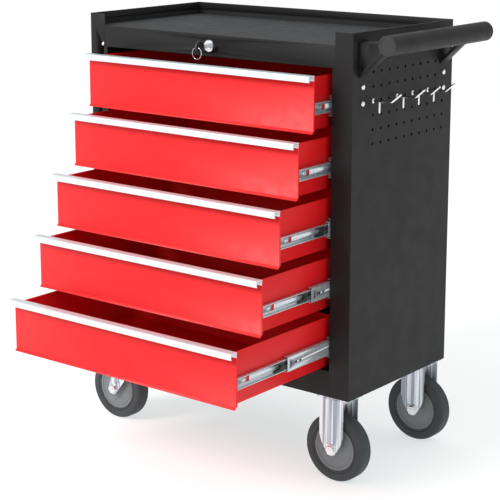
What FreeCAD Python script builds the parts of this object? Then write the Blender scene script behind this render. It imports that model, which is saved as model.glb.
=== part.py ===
import FreeCAD, Part
import math
import os
import types
import Sketcher

# Five-drawer roller tool cart: a folded sheet cabinet on two rigid and two swivel
# casters, with a push handle and a pegboard on its right side.
# Millimetres, +Z up, floor at Z = 0, drawers opening towards -Y, handle on +X.
# The drawers are drawn in a staggered, partly open rest position.

doc = FreeCAD.newDocument("ToolCart")
sheet = doc.addObject("Spreadsheet::Sheet", "Dims")

DIMENSIONS = [
    ("cab_width", 610, "cabinet width"),
    ("cab_depth", 320, "cabinet depth"),
    ("cab_height", 649, "cabinet height, rim included"),
    ("cab_lift", 161, "floor to the cabinet's underside"),
    ("gauge", 1.2, "cabinet sheet thickness"),
    ("post_width", 42.5, "front flange beside the drawers"),
    ("post_top_width", 37, "front flange beside the fascia"),
    ("post_lip", 12, "depth of the lip behind the front flange"),
    ("rear_flange", 15, "width of the side panels' rear flange"),
    ("hem_drop", 12, "height of the folded rim hem"),
    ("hem_extra", 2, "extra thickness of the folded rim hem"),
    ("apron_height", 48, "front wall below the lowest drawer"),
    ("fascia_drop", 22.5, "rim down to the fascia's upper edge"),
    ("opening_drop", 62, "rim down to the top of the drawer opening"),
    ("mat_thick", 2.5, "tray mat thickness"),
    ("drawer_gap", 9, "gap above a drawer face"),
    ("face_half", 261, "half width of a drawer face"),
    ("drawer_half", 249.8, "half width of a drawer box"),
    ("drawer_long", 285, "drawer depth, front to back"),
    ("drawer_gauge", 1, "drawer sheet thickness"),
    ("flare_height", 5, "height of the kick at a face's lower edge"),
    ("flare_reach", 4, "how far that kick stands forward"),
    ("face_return", 4, "depth of the face's folded side edges"),
    ("pull_reach", 15.5, "how far a pull stands in front of its face"),
    ("pull_lip", 11, "height of the pull's front lip"),
    ("pull_wall", 1.5, "wall of the pull extrusion"),
    ("open_first", 51, "rest opening of drawer 1"),
    ("open_second", 94, "rest opening of drawer 2"),
    ("open_third", 144, "rest opening of drawer 3"),
    ("open_fourth", 192, "rest opening of drawer 4"),
    ("open_fifth", 259, "rest opening of drawer 5"),
    ("slide_half_travel", 135, "travel of each stage of a slide"),
    ("slide_long", 280, "length of each slide member"),
    ("slide_rise", 42, "slide centre above the drawer's lower edge"),
    ("slide_gauge", 1.2, "slide member wall"),
    ("handle_reach", 67, "side panel to the handle's centre"),
    ("handle_radius", 17.5, "handle tube radius"),
    ("handle_wall", 1.5, "handle tube wall"),
    ("bracket_inset", 30, "bracket centre from the cabinet's front or back"),
    ("bracket_wide", 25, "bracket strip width"),
    ("bracket_thick", 3, "bracket strip thickness"),
    ("peg_pitch", 25, "pegboard hole pitch"),
    ("peg_radius", 2.75, "pegboard hole radius"),
    ("peg_first", 62, "first pegboard column from the cabinet's front"),
    ("peg_drop", 71, "rim down to the top pegboard row"),
    ("hook_radius", 2, "pegboard hook wire radius"),
    ("lock_offset", -4, "lock from the cabinet's middle"),
    ("lock_drop", 42, "rim down to the lock's centre"),
    ("plug_radius", 6.5, "lock plug radius"),
    ("crank_radius", 8, "lock crank radius"),
    ("running_gap", 0.05, "radial clearance of a turning shaft"),
    ("wheel_radius", 62.5, "caster wheel radius"),
    ("wheel_half", 15.5, "half the tyre's width"),
    ("hub_radius", 42, "hub radius"),
    ("wheel_spread", 267, "wheel centre from the cabinet's middle"),
    ("wheel_inset", 26, "wheel centre from the cabinet's front or back"),
    ("trail", 36, "swivel axis to the wheel's centre"),
    ("fork_half", 25, "half the fork's outer span"),
    ("fork_thick", 2.5, "fork sheet thickness"),
    ("axle_head", 5, "height of an axle's head or nut"),
    ("axle_radius", 5, "axle and kingpin radius"),
]

DRAWERS = 5
PEG_COLUMNS = 10
PEG_ROWS = 6
HOOK_COLUMNS = (0, 3, 5, 7)
HOOK_ROW = 2
OUT_Y = FreeCAD.Rotation(FreeCAD.Vector(1, 0, 0), -90)
OUT_X = FreeCAD.Rotation(FreeCAD.Vector(0, 1, 0), 90)


class Size:
    """A length that carries both its number and its spreadsheet expression."""

    def __init__(self, number, text):
        self.number = number
        self.text = text

    def __float__(self):
        return float(self.number)

    def __add__(self, other):
        return Size(float(self) + float(other), f"({self.text} + {as_text(other)})")

    def __radd__(self, other):
        return Size(float(other) + float(self), f"({as_text(other)} + {self.text})")

    def __sub__(self, other):
        return Size(float(self) - float(other), f"({self.text} - {as_text(other)})")

    def __rsub__(self, other):
        return Size(float(other) - float(self), f"({as_text(other)} - {self.text})")

    def __mul__(self, other):
        return Size(float(self) * float(other), f"({self.text} * {as_text(other)})")

    def __rmul__(self, other):
        return self * other

    def __truediv__(self, other):
        return Size(float(self) / float(other), f"({self.text} / {as_text(other)})")

    def __neg__(self):
        return self * -1


def as_text(value):
    """The expression text of a Size or of a plain number."""
    return value.text if isinstance(value, Size) else f"({value})"


def read_dimensions():
    """Write the driving dimensions to the sheet and return them as Sizes."""
    sizes = {}
    for row, (alias, number, meaning) in enumerate(DIMENSIONS, start=1):
        sheet.set(f"A{row}", meaning)
        sheet.set(f"B{row}", str(number))
        sheet.setAlias(f"B{row}", alias)
        sizes[alias] = Size(number, "Dims." + alias)
    doc.recompute()
    return types.SimpleNamespace(**sizes)


def bind(thing, field, value):
    """Tie one property to the sheet where its value is a Size."""
    if isinstance(value, Size):
        thing.setExpression(field, value.text)


def place(thing, x, y, z, rotation=FreeCAD.Rotation()):
    """Put an object at a bound place."""
    thing.Placement = FreeCAD.Placement(FreeCAD.Vector(float(x), float(y), float(z)), rotation)
    for axis, value in zip("xyz", (x, y, z)):
        bind(thing, "Placement.Base." + axis, value)
    return thing


def box(name, across, along, up):
    """A box from three (low, high) spans."""
    solid = doc.addObject("Part::Box", name)
    for field, (low, high) in zip(("Length", "Width", "Height"), (across, along, up)):
        setattr(solid, field, float(high) - float(low))
        bind(solid, field, high - low)
    return place(solid, across[0], along[0], up[0])


def rod(name, start, radius, length, rotation=FreeCAD.Rotation()):
    """A cylinder that starts at a point and runs along +Z turned by the rotation."""
    solid = doc.addObject("Part::Cylinder", name)
    solid.Radius = float(radius)
    solid.Height = float(length)
    bind(solid, "Radius", radius)
    bind(solid, "Height", length)
    return place(solid, *start, rotation)


def cone(name, start, radius_start, radius_end, length, rotation=FreeCAD.Rotation()):
    """A truncated cone along +Z turned by the rotation."""
    solid = doc.addObject("Part::Cone", name)
    for field, value in (("Radius1", radius_start), ("Radius2", radius_end), ("Height", length)):
        setattr(solid, field, float(value))
        bind(solid, field, value)
    return place(solid, *start, rotation)


def hexagon(name, start, corner_radius, length, rotation=FreeCAD.Rotation()):
    """A hexagonal bolt head or nut along +Z turned by the rotation."""
    solid = doc.addObject("Part::Prism", name)
    solid.Polygon = 6
    solid.Circumradius = float(corner_radius)
    solid.Height = float(length)
    bind(solid, "Circumradius", corner_radius)
    bind(solid, "Height", length)
    return place(solid, *start, rotation)


def fuse(name, *shapes):
    solid = doc.addObject("Part::MultiFuse", name)
    solid.Shapes = list(shapes)
    solid.Refine = True
    return solid


def group(name, *shapes):
    """Several separate solids in one sub-part."""
    compound = doc.addObject("Part::Compound", name)
    compound.Links = list(shapes)
    return compound


def cut(name, base, *tools):
    solid = doc.addObject("Part::Cut", name)
    solid.Base = base
    solid.Tool = tools[0] if len(tools) == 1 else group(name + "_tools", *tools)
    return solid


def origin_plane(body, role):
    return next(plane for plane in body.Origin.OriginFeatures if plane.Role == role)


def pin_point(sketch, edge, u, v):
    """Fix the start of an edge at (u, v), each bound to the sheet."""
    for kind, axis, value in (("DistanceX", -2, u), ("DistanceY", -1, v)):
        if abs(float(value)) < 1e-9:
            sketch.addConstraint(Sketcher.Constraint("PointOnObject", edge, 1, axis))
        else:
            number = sketch.addConstraint(
                Sketcher.Constraint(kind, -1, 1, edge, 1, float(value)))
            bind(sketch, f"Constraints[{number}]", value)


def outline_sketch(body, role, *loops):
    """A sketch of closed straight-sided loops on one of the body's own planes."""
    sketch = body.newObject("Sketcher::SketchObject", body.Name + "_sketch")
    sketch.AttachmentSupport = [(origin_plane(body, role), "")]
    sketch.MapMode = "FlatFace"
    for loop in loops:
        first = sketch.GeometryCount
        corners = [FreeCAD.Vector(float(u), float(v), 0) for u, v in loop]
        for corner, following in zip(corners, corners[1:] + corners[:1]):
            sketch.addGeometry(Part.LineSegment(corner, following), False)
        for step, (u, v) in enumerate(loop):
            after = first + (step + 1) % len(loop)
            sketch.addConstraint(Sketcher.Constraint("Coincident", first + step, 2, after, 1))
            pin_point(sketch, first + step, u, v)
    return sketch


def padded(name, role, length, *loops):
    """A body padded evenly to both sides of one of its origin planes."""
    body = doc.addObject("PartDesign::Body", name)
    pad = body.newObject("PartDesign::Pad", name + "_pad")
    pad.Profile = outline_sketch(body, role, *loops)
    pad.SideType = "Symmetric"
    pad.Length = float(length)
    bind(pad, "Length", length)
    return body


def turned(name, profile):
    """A body turned about its own Y axis from a (radius, y) outline."""
    body = doc.addObject("PartDesign::Body", name)
    sketch = outline_sketch(body, "XY_Plane", profile)
    turn = body.newObject("PartDesign::Revolution", name + "_turn")
    turn.Profile = sketch
    turn.ReferenceAxis = (sketch, ["V_Axis"])
    turn.Angle = 360
    return body, turn


def rounded_rims(body, turn, rim_radius, fillet_radius):
    """Round the turned body's edges of one radius."""
    doc.recompute()
    rims = [
        f"Edge{number}" for number, edge in enumerate(turn.Shape.Edges, start=1)
        if isinstance(edge.Curve, Part.Circle)
        and abs(edge.Curve.Radius - float(rim_radius)) < 0.01
    ]
    fillet = body.newObject("PartDesign::Fillet", body.Name + "_round")
    fillet.Base = (turn, rims)
    fillet.Radius = fillet_radius


def node(name, shape):
    """Name a finished sub-part; the label is also its file's name."""
    shape.Label = name
    NODES[name] = shape


NODES = {}
dim = read_dimensions()

half = dim.cab_width / 2
opening_half = half - dim.post_width
top = dim.cab_lift + dim.cab_height
opening_top = top - dim.opening_drop
opening_bottom = dim.cab_lift + dim.apron_height
drawer_pitch = (opening_top - opening_bottom) / DRAWERS
fascia_top = top - dim.fascia_drop
tray_top = fascia_top - 1 - dim.mat_thick
inner_back = dim.cab_depth - 2 * dim.gauge
lock_height = top - dim.lock_drop
handle_height = top - dim.handle_radius
openings = [dim.open_first, dim.open_second, dim.open_third, dim.open_fourth, dim.open_fifth]

# The origin is under the middle of the whole cart at rest: between the swivel wheels'
# left and the handle's right, and between the lowest pull and the rear axle nuts.
cab_x = (dim.wheel_spread + dim.wheel_radius - half - dim.handle_reach - dim.handle_radius) / 2
nut_reach = dim.fork_half + dim.axle_head - dim.wheel_inset
front_y = (dim.open_fifth + dim.pull_reach - dim.cab_depth - nut_reach) / 2


def both_sides(side, low, high):
    """A span of distances from the cabinet's middle, on its right or left side."""
    near, far = (low, high) if side > 0 else (-high, -low)
    return cab_x + near, cab_x + far


def centred(reach):
    return cab_x - reach, cab_x + reach


def depth_span(low, high):
    return front_y + low, front_y + high


# ---- cabinet shell ----

def side_panel(side, name):
    """Outer side sheet with its front flange, lip, rear flange and rim hem."""
    skin = half - dim.gauge
    edge = opening_half + dim.gauge
    depth = dim.cab_depth
    plan = [
        (half, 0), (half, depth), (half - dim.rear_flange, depth),
        (half - dim.rear_flange, depth - dim.gauge), (skin, depth - dim.gauge),
        (skin, dim.gauge), (edge, dim.gauge), (edge, dim.post_lip),
        (opening_half, dim.post_lip), (opening_half, 0),
    ]
    sheet_body = padded(name + "_sheet", "XY_Plane", dim.cab_height,
                        [(side * x, y) for x, y in plan])
    place(sheet_body, cab_x, front_y, dim.cab_lift + dim.cab_height / 2)
    if side > 0:
        drill_pegboard(sheet_body, skin)
    hem = box(name + "_hem", both_sides(side, skin - dim.hem_extra, skin),
              depth_span(dim.gauge, inner_back - dim.hem_extra - 1), (top - dim.hem_drop, top))
    notch = box(name + "_notch", both_sides(side, opening_half - 1, half - dim.post_top_width),
                depth_span(-1, dim.post_lip + 1), (opening_top, top + 1))
    return cut(name + "_notched", fuse(name + "_joined", sheet_body, hem), notch)


def drill_pegboard(sheet_body, skin):
    """Pocket one hole through the side skin, then repeat it in two directions."""
    doc.recompute()
    whole_volume = sheet_body.Shape.Volume
    sketch = sheet_body.newObject("Sketcher::SketchObject", "peg_hole_sketch")
    sketch.AttachmentSupport = [(origin_plane(sheet_body, "YZ_Plane"), "")]
    sketch.MapMode = "FlatFace"
    lowest_row = dim.cab_height / 2 - dim.peg_drop - dim.peg_pitch * (PEG_ROWS - 1)
    centre = FreeCAD.Vector(float(dim.peg_first), float(lowest_row), 0)
    sketch.addGeometry(Part.Circle(centre, FreeCAD.Vector(0, 0, 1), float(dim.peg_radius)), False)
    for kind, value in (("DistanceX", dim.peg_first), ("DistanceY", lowest_row)):
        number = sketch.addConstraint(Sketcher.Constraint(kind, -1, 1, 0, 3, float(value)))
        bind(sketch, f"Constraints[{number}]", value)
    number = sketch.addConstraint(Sketcher.Constraint("Radius", 0, float(dim.peg_radius)))
    bind(sketch, f"Constraints[{number}]", dim.peg_radius)
    pocket = sheet_body.newObject("PartDesign::Pocket", "peg_hole")
    pocket.Profile = sketch
    pocket.Type = "ThroughAll"
    pocket.Reversed = True
    grid = sheet_body.newObject("PartDesign::LinearPattern", "peg_grid")
    grid.Originals = [pocket]
    grid.Direction = (sketch, ["H_Axis"])
    grid.Length = float(dim.peg_pitch * (PEG_COLUMNS - 1))
    bind(grid, "Length", dim.peg_pitch * (PEG_COLUMNS - 1))
    grid.Occurrences = PEG_COLUMNS
    grid.Direction2 = (sketch, ["V_Axis"])
    grid.Length2 = float(dim.peg_pitch * (PEG_ROWS - 1))
    bind(grid, "Length2", dim.peg_pitch * (PEG_ROWS - 1))
    grid.Occurrences2 = PEG_ROWS
    sheet_body.Tip = grid
    doc.recompute()
    hole = math.pi * float(dim.peg_radius) ** 2 * float(half - skin)
    removed = (whole_volume - sheet_body.Shape.Volume) / hole
    assert abs(removed - PEG_COLUMNS * PEG_ROWS) < 0.5, f"pegboard has {removed} holes"


# Pan-head screws hold the handle brackets' backing on the right; one more is in the left post.
SCREW_HOLE = 2.3
SCREW_SHANK = 2
SCREW_LONG = 6
screw_rows = (top - dim.peg_drop - 23, top - dim.peg_drop - 51.5)
side_screws = [
    (front_y + along, height)
    for along in (dim.bracket_inset, dim.cab_depth - dim.bracket_inset) for height in screw_rows
]
post_screw = (cab_x - half + 33, top - 57)


def screw_hole(name, start, rotation):
    """A clearance hole through one sheet."""
    return rod(name, start, SCREW_HOLE, 2 * SCREW_LONG, rotation)


node("side_panel_right", cut("side_panel_right_drilled", side_panel(1, "right_side"), *[
    screw_hole(f"side_screw_hole_{number}", (cab_x + half - SCREW_LONG, along, height), OUT_X)
    for number, (along, height) in enumerate(side_screws)]))
node("side_panel_left", cut("side_panel_left_drilled", side_panel(-1, "left_side"), screw_hole(
    "post_screw_hole", (post_screw[0], front_y - SCREW_LONG, post_screw[1]), OUT_Y)))


def panel_screws():
    """Pan heads with short shanks, outside the sheet they hold."""
    screws = []
    for number, (along, height) in enumerate(side_screws):
        head = cone(f"side_screw_head_{number}", (cab_x + half, along, height), 4.8, 3, 2.8, OUT_X)
        shank = rod(f"side_screw_shank_{number}", (cab_x + half - SCREW_LONG, along, height),
                    SCREW_SHANK, SCREW_LONG + 1, OUT_X)
        screws.append(fuse(f"side_screw_{number}", head, shank))
    head = cone("post_screw_head", (post_screw[0], front_y - 2, post_screw[1]), 2.4, 3.6, 2, OUT_Y)
    shank = rod("post_screw_shank", (post_screw[0], front_y - 1, post_screw[1]),
                SCREW_SHANK, SCREW_LONG + 1, OUT_Y)
    screws.append(fuse("post_screw", head, shank))
    return group("panel_screw_set", *screws)


node("panel_screws", panel_screws())


def back_panel():
    """Rear sheet with a rim hem."""
    sheet_part = box("back_sheet", centred(half - dim.gauge),
                     depth_span(inner_back, inner_back + dim.gauge), (dim.cab_lift, top))
    hem = box("back_hem", centred(half - dim.gauge), depth_span(inner_back - dim.hem_extra, inner_back),
              (top - dim.hem_drop, top))
    return fuse("back_joined", sheet_part, hem)


node("back_panel", back_panel())

# The lock bar runs in two guides on the back panel. Distances are from the cabinet's
# front and, across, from the lock's centre.
BAR_LEFT = -4
BAR_RIGHT = 16
BAR_FRONT = 294
BAR_BACK = 296.5
GUIDE_GAP = 0.6
GUIDE_WALL = 2
GUIDE_HIGH = 14
GUIDE_DROPS = (150, 470)
lock_x = cab_x + dim.lock_offset


def lock_guide(name, span):
    """A strap bent round the lock bar and fixed to the back sheet."""
    left = lock_x + BAR_LEFT - GUIDE_GAP
    right = lock_x + BAR_RIGHT + GUIDE_GAP
    nose = BAR_FRONT - GUIDE_GAP
    tail = BAR_BACK + GUIDE_GAP
    full = (left - GUIDE_WALL, right + GUIDE_WALL)
    depth = depth_span(nose - GUIDE_WALL, inner_back)
    return fuse(
        name + "_joined",
        box(name + "_left", (left - GUIDE_WALL, left), depth, span),
        box(name + "_right", (right, right + GUIDE_WALL), depth, span),
        box(name + "_nose", full, depth_span(nose - GUIDE_WALL, nose), span),
        box(name + "_tail", full, depth_span(tail, tail + GUIDE_WALL), span))


node("lock_guides", group("lock_guide_pair", *[
    lock_guide(f"lock_guide_{number}", (top - drop, top - drop + GUIDE_HIGH))
    for number, drop in enumerate(GUIDE_DROPS)]))

# Caster bolt pattern: four bolts about each caster's plate centre.
BOLT_ACROSS = 23
BOLT_ALONG = 15
BOLT_RADIUS = 3
BOLT_HOLE = 3.3
PLATE_THICK = 3
swivel_x = cab_x - dim.wheel_spread + dim.trail
rigid_x = cab_x + dim.wheel_spread
wheel_rows = {"front": front_y + dim.wheel_inset, "rear": front_y + dim.cab_depth - dim.wheel_inset}
plates = {
    (kind, row): (x, y)
    for kind, x in (("rigid", rigid_x), ("swivel", swivel_x)) for row, y in wheel_rows.items()
}


def bolt_places(kind):
    """The bolt centres of the plates of one kind of caster."""
    return [
        (x + across, y + along)
        for (plate_kind, row), (x, y) in plates.items() if plate_kind in kind
        for across in (-BOLT_ACROSS, BOLT_ACROSS) for along in (-BOLT_ALONG, BOLT_ALONG)
    ]


def bolt_holes(name, kind):
    return [
        rod(f"{name}_{number}", (x, y, dim.cab_lift - 10), BOLT_HOLE, 20)
        for number, (x, y) in enumerate(bolt_places(kind))
    ]


def base_pan():
    """Floor sheet with the front apron and its return, notched for the post lips."""
    lip_clear = dim.post_lip + 2
    floor_span = (dim.cab_lift, dim.cab_lift + dim.gauge)
    floor = box("base_floor", centred(half - dim.gauge), depth_span(lip_clear, inner_back), floor_span)
    sill = box("base_sill", centred(opening_half), depth_span(0, lip_clear + 1), floor_span)
    apron = box("base_apron", centred(opening_half), depth_span(0, dim.gauge),
                (dim.cab_lift, opening_bottom))
    shelf = box("base_shelf", centred(opening_half), depth_span(0, 18),
                (opening_bottom - dim.gauge, opening_bottom))
    corners = [
        box(f"base_corner_{side + 1}", both_sides(side, opening_half + 2 * dim.gauge, half - dim.gauge),
            depth_span(dim.gauge, lip_clear + 1), floor_span)
        for side in (-1, 1)
    ]
    return cut("base_drilled", fuse("base_joined", floor, sill, apron, shelf, *corners),
               *bolt_holes("base_bolt_hole", ("rigid", "swivel")))


node("base_pan", base_pan())


SLEEVE_RADIUS = 9.4
FASCIA_HEM = 5


def top_fascia():
    """Front wall of the tray with its hem, lower return and lock hole."""
    reach = half - dim.post_top_width
    face = box("fascia_face", centred(reach), depth_span(0, dim.gauge), (opening_top, fascia_top))
    hem = box("fascia_hem", centred(reach), depth_span(dim.gauge, 2 * dim.gauge),
              (fascia_top - FASCIA_HEM, fascia_top))
    shelf = box("fascia_shelf", centred(opening_half - 1), depth_span(0, 20),
                (opening_top, opening_top + dim.gauge))
    hole = rod("fascia_lock_hole", (lock_x, front_y - 5, lock_height), SLEEVE_RADIUS + 0.1, 10, OUT_Y)
    return cut("fascia_drilled", fuse("fascia_joined", face, hem, shelf), hole)


node("top_fascia", top_fascia())


def top_tray():
    """Sheet tray floor with three low upstands."""
    reach = half - dim.gauge
    front = 2 * dim.gauge
    under = tray_top - dim.gauge
    upstand = (under, tray_top + 10)
    rear_span = depth_span(inner_back - dim.gauge, inner_back)
    parts = [
        box("tray_floor", centred(reach), depth_span(front, inner_back), (under, tray_top)),
        box("tray_back", centred(reach), rear_span, upstand),
    ]
    for side in (-1, 1):
        parts.append(box(f"tray_side_{side + 1}", both_sides(side, reach - dim.gauge, reach),
                         depth_span(front, inner_back), upstand))
    return fuse("tray_joined", *parts)


node("top_tray", top_tray())
mat_margin = 2 * dim.gauge + 1
node("tray_mat",
     box("tray_mat_pad", centred(half - mat_margin), depth_span(mat_margin, inner_back - mat_margin),
         (tray_top, tray_top + dim.mat_thick)))


# ---- slide uprights and slides ----

UPRIGHT_WIDE = 28


def uprights(name, start):
    """A pair of U channels that carry the slides off the side panels."""
    skin = half - dim.gauge
    inner = opening_half + dim.gauge
    far = UPRIGHT_WIDE - dim.gauge
    plan = [
        (opening_half, 0), (skin, 0), (skin, dim.gauge), (inner, dim.gauge),
        (inner, far), (skin, far), (skin, UPRIGHT_WIDE), (opening_half, UPRIGHT_WIDE),
    ]
    low = dim.cab_lift + 12
    high = opening_top + 10
    channels = []
    for side in (-1, 1):
        channel = padded(f"{name}_{side + 1}", "XY_Plane", high - low,
                         [(side * x, y) for x, y in plan])
        channels.append(place(channel, cab_x, front_y + start, (low + high) / 2))
    return group(name + "_pair", *channels)


node("front_uprights", uprights("front_upright", 22))
node("rear_uprights", uprights("rear_upright", 266))

# Slide sections, as distances outward from the drawer's side: web face, flange tip, half height.
OUTER_MEMBER = (12.7, 2.2, 17.6)
MIDDLE_MEMBER = (10.5, 2.0, 13.8)
INNER_MEMBER = (0, 8.2, 10)
SLIDE_START = 5
INNER_START = 6


def channel_pair(name, section, start, height):
    """The left and right channel of one slide member."""
    web, tip, reach = section
    wall = dim.slide_gauge if tip > web else -dim.slide_gauge
    profile = [
        (dim.drawer_half + x, z) for x, z in (
            (web, -reach), (tip, -reach), (tip, -reach + dim.slide_gauge),
            (web + wall, -reach + dim.slide_gauge), (web + wall, reach - dim.slide_gauge),
            (tip, reach - dim.slide_gauge), (tip, reach), (web, reach))
    ]
    pair = []
    for side in (-1, 1):
        member = padded(f"{name}_{side + 1}", "XZ_Plane", dim.slide_long,
                        [(side * x, z) for x, z in profile])
        pair.append(place(member, cab_x, front_y + start + dim.slide_long / 2, height))
    return pair


def drawer_floor(number):
    """Height of the lower edge of a drawer's share of the opening, drawer 1 on top."""
    return opening_top - number * drawer_pitch


def slide_height(number):
    return drawer_floor(number) + dim.slide_rise


def middle_shift(number):
    """How far a middle member has been drawn out at rest."""
    pulled = openings[number - 1] - dim.slide_half_travel
    return pulled if float(pulled) > 0 else 0


def slide_middle(number):
    """The middle pair, each member with two ball-stop holes near its front."""
    name = f"middle_{number}"
    start = SLIDE_START + 1 - middle_shift(number)
    height = slide_height(number)
    pair = channel_pair(name, MIDDLE_MEMBER, start, height)
    holes = [
        rod(f"{name}_hole_{step}", (cab_x - half, front_y + start + reach, height), 2.4,
            dim.cab_width, OUT_X)
        for step, reach in enumerate((16, 27))
    ]
    return cut(name + "_drilled", group(name + "_pair", *pair), *holes)


def slide_inner(number):
    """The inner pair, each with a round hole and a latch window near its front."""
    name = f"inner_{number}"
    start = INNER_START - openings[number - 1]
    height = slide_height(number)
    pair = channel_pair(name, INNER_MEMBER, start, height)
    hole = rod(name + "_hole", (cab_x - half, front_y + start + 22, height), 2.6,
               dim.cab_width, OUT_X)
    window = box(name + "_window", centred(half), depth_span(start + 29, start + 38),
                 (height - 4, height + 4))
    return cut(name + "_drilled", group(name + "_pair", *pair), hole, window)


outer_members = []
for number in range(1, DRAWERS + 1):
    outer_members += channel_pair(f"outer_{number}", OUTER_MEMBER, SLIDE_START, slide_height(number))
    node(f"slide_middle_{number}", slide_middle(number))
    node(f"slide_inner_{number}", slide_inner(number))
node("slide_outer_members", group("outer_set", *outer_members))


# ---- drawers ----

def drawer(number):
    """An open sheet box behind a face whose lower edge kicks forward."""
    name = f"drawer_{number}"
    face_y = front_y - openings[number - 1]
    low = drawer_floor(number)
    face_high = drawer_pitch - dim.drawer_gap
    wall = dim.gauge
    profile = [
        (0, dim.flare_height), (0, face_high), (wall, face_high), (wall, dim.flare_height),
        (wall - dim.flare_reach, 0.5), (-dim.flare_reach, 0.5),
    ]
    face = padded(name + "_face", "YZ_Plane", 2 * dim.face_half, profile)
    place(face, cab_x, face_y, low)
    edge_up = (low + dim.flare_height, low + face_high)
    edges = [
        box(f"{name}_edge_{side + 1}", both_sides(side, dim.face_half - wall, dim.face_half),
            (face_y, face_y + dim.face_return), edge_up)
        for side in (-1, 1)
    ]
    thin = dim.drawer_gauge
    rear = face_y + dim.drawer_long
    box_up = (low + dim.flare_height, low + face_high - 3)
    outer = box(name + "_outer", centred(dim.drawer_half), (face_y + wall, rear), box_up)
    inner = box(name + "_inner", centred(dim.drawer_half - thin), (face_y, rear - thin),
                (box_up[0] + thin, box_up[1] + 1))
    return fuse(name + "_joined", face, *edges, cut(name + "_box", outer, inner))


def drawer_pull(number):
    """An extruded aluminium grip along the top of a drawer face, open underneath."""
    name = f"pull_{number}"
    wall = dim.pull_wall
    nose = -dim.pull_reach
    lip = -dim.pull_lip
    bead = 3
    profile = [
        (dim.gauge, 0), (nose, 0), (nose, lip), (nose + bead, lip), (nose + bead, lip + 1.2),
        (nose + wall, lip + 1.2), (nose + wall, -wall), (-wall, -wall), (-wall, -9.5),
        (0, -9.5), (0, -wall), (dim.gauge, -wall),
    ]
    grip = padded(name + "_section", "YZ_Plane", 2 * dim.face_half + 2, profile)
    return place(grip, cab_x, front_y - openings[number - 1],
                 drawer_floor(number) + drawer_pitch - dim.drawer_gap + wall)


for number in range(1, DRAWERS + 1):
    node(f"drawer_{number}", drawer(number))
    node(f"drawer_pull_{number}", drawer_pull(number))


# ---- push handle ----

CAP_FLANGE = 2
CAP_PLUG = 10
handle_x = cab_x + half + dim.handle_reach


def handle_tube():
    long = dim.cab_depth - 2 * CAP_FLANGE
    start = (handle_x, front_y + CAP_FLANGE, handle_height)
    skin = rod("handle_skin", start, dim.handle_radius, long, OUT_Y)
    bore = rod("handle_bore", start, dim.handle_radius - dim.handle_wall, long, OUT_Y)
    return cut("handle_hollow", skin, bore)


def handle_end_caps():
    """Plastic caps that plug both ends of the tube."""
    plug_radius = dim.handle_radius - dim.handle_wall - 0.1
    caps = []
    for end, flange_y, plug_y in (
            ("front", front_y, front_y),
            ("rear", front_y + dim.cab_depth - CAP_FLANGE,
             front_y + dim.cab_depth - CAP_FLANGE - CAP_PLUG)):
        flange = rod(f"cap_flange_{end}", (handle_x, flange_y, handle_height),
                     dim.handle_radius, CAP_FLANGE, OUT_Y)
        plug = rod(f"cap_plug_{end}", (handle_x, plug_y, handle_height),
                   plug_radius, CAP_PLUG + CAP_FLANGE, OUT_Y)
        caps.append(fuse(f"cap_{end}", flange, plug))
    return group("cap_pair", *caps)


def handle_bracket(end, centre_y):
    """A strip bent into an open triangle: wall leg, top arm and raked strut."""
    thick = dim.bracket_thick
    strut_foot = -56
    strut_slope = 0.911
    reach = dim.handle_reach - 8

    def strut(x):
        return strut_foot + strut_slope * x

    outer = [(0, strut(0) - 4), (reach, strut(reach) - 2), (reach, 2), (0, 2)]
    inner = [(thick, strut(0) + 4), (thick, 2 - thick), (reach - 8, 2 - thick)]
    name = f"bracket_{end}"
    strip = padded(name + "_strip", "XZ_Plane", dim.bracket_wide, outer, inner)
    place(strip, cab_x + half, centre_y, handle_height)
    clearance = rod(name + "_tube", (handle_x, front_y - 5, handle_height), dim.handle_radius,
                    dim.cab_depth + 10, OUT_Y)
    return cut(name + "_fitted", strip, clearance)


node("handle_tube", handle_tube())
node("handle_end_caps", handle_end_caps())
node("handle_bracket_front", handle_bracket("front", front_y + dim.bracket_inset))
node("handle_bracket_rear", handle_bracket("rear", front_y + dim.cab_depth - dim.bracket_inset))


# ---- pegboard hooks ----

def peg_hook(number, column):
    """A wire hook: straight out of its hole, tip bent up, with a short hanging leg."""
    wire = float(dim.hook_radius)
    inside = 5
    straight = 37
    bend = 10
    tip = (19, 15)
    leg_out = 13
    leg_drop = 19
    root = FreeCAD.Vector(-inside, 0, 0)
    before = FreeCAD.Vector(straight - bend, 0, 0)
    along_tip = FreeCAD.Vector(tip[0], 0, tip[1]).normalize()
    corner = FreeCAD.Vector(straight, 0, 0)
    after = corner + along_tip * bend
    middle = corner + (before + after - corner * 2) * 0.21
    path = Part.Wire([
        Part.LineSegment(root, before).toShape(),
        Part.Arc(before, middle, after).toShape(),
        Part.LineSegment(after, corner + FreeCAD.Vector(tip[0], 0, tip[1])).toShape(),
    ])
    section = Part.Wire([Part.makeCircle(wire, root, FreeCAD.Vector(1, 0, 0))])
    arm = path.makePipeShell([section], True, True)
    leg = Part.makeCylinder(wire, leg_drop, FreeCAD.Vector(leg_out, 0, 0), FreeCAD.Vector(0, 0, -1))
    foot = Part.makeSphere(wire, FreeCAD.Vector(leg_out, 0, -leg_drop))
    hook = doc.addObject("Part::Feature", f"peg_hook_{number}")
    hook.Shape = arm.fuse([leg, foot]).removeSplitter()
    return place(hook, cab_x + half, front_y + dim.peg_first + column * dim.peg_pitch,
                 top - dim.peg_drop - HOOK_ROW * dim.peg_pitch)


node("peg_hooks", group("peg_hook_set", *[
    peg_hook(number, column) for number, column in enumerate(HOOK_COLUMNS)]))


# ---- lock ----

HEAD_LONG = 9
PLUG_PROUD = 0.6
SLEEVE_LONG = 18
PLUG_LONG = 24
KEY_THICK = 2
KEY_WIDE = 7
SLOT_DEEP = 16


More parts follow.
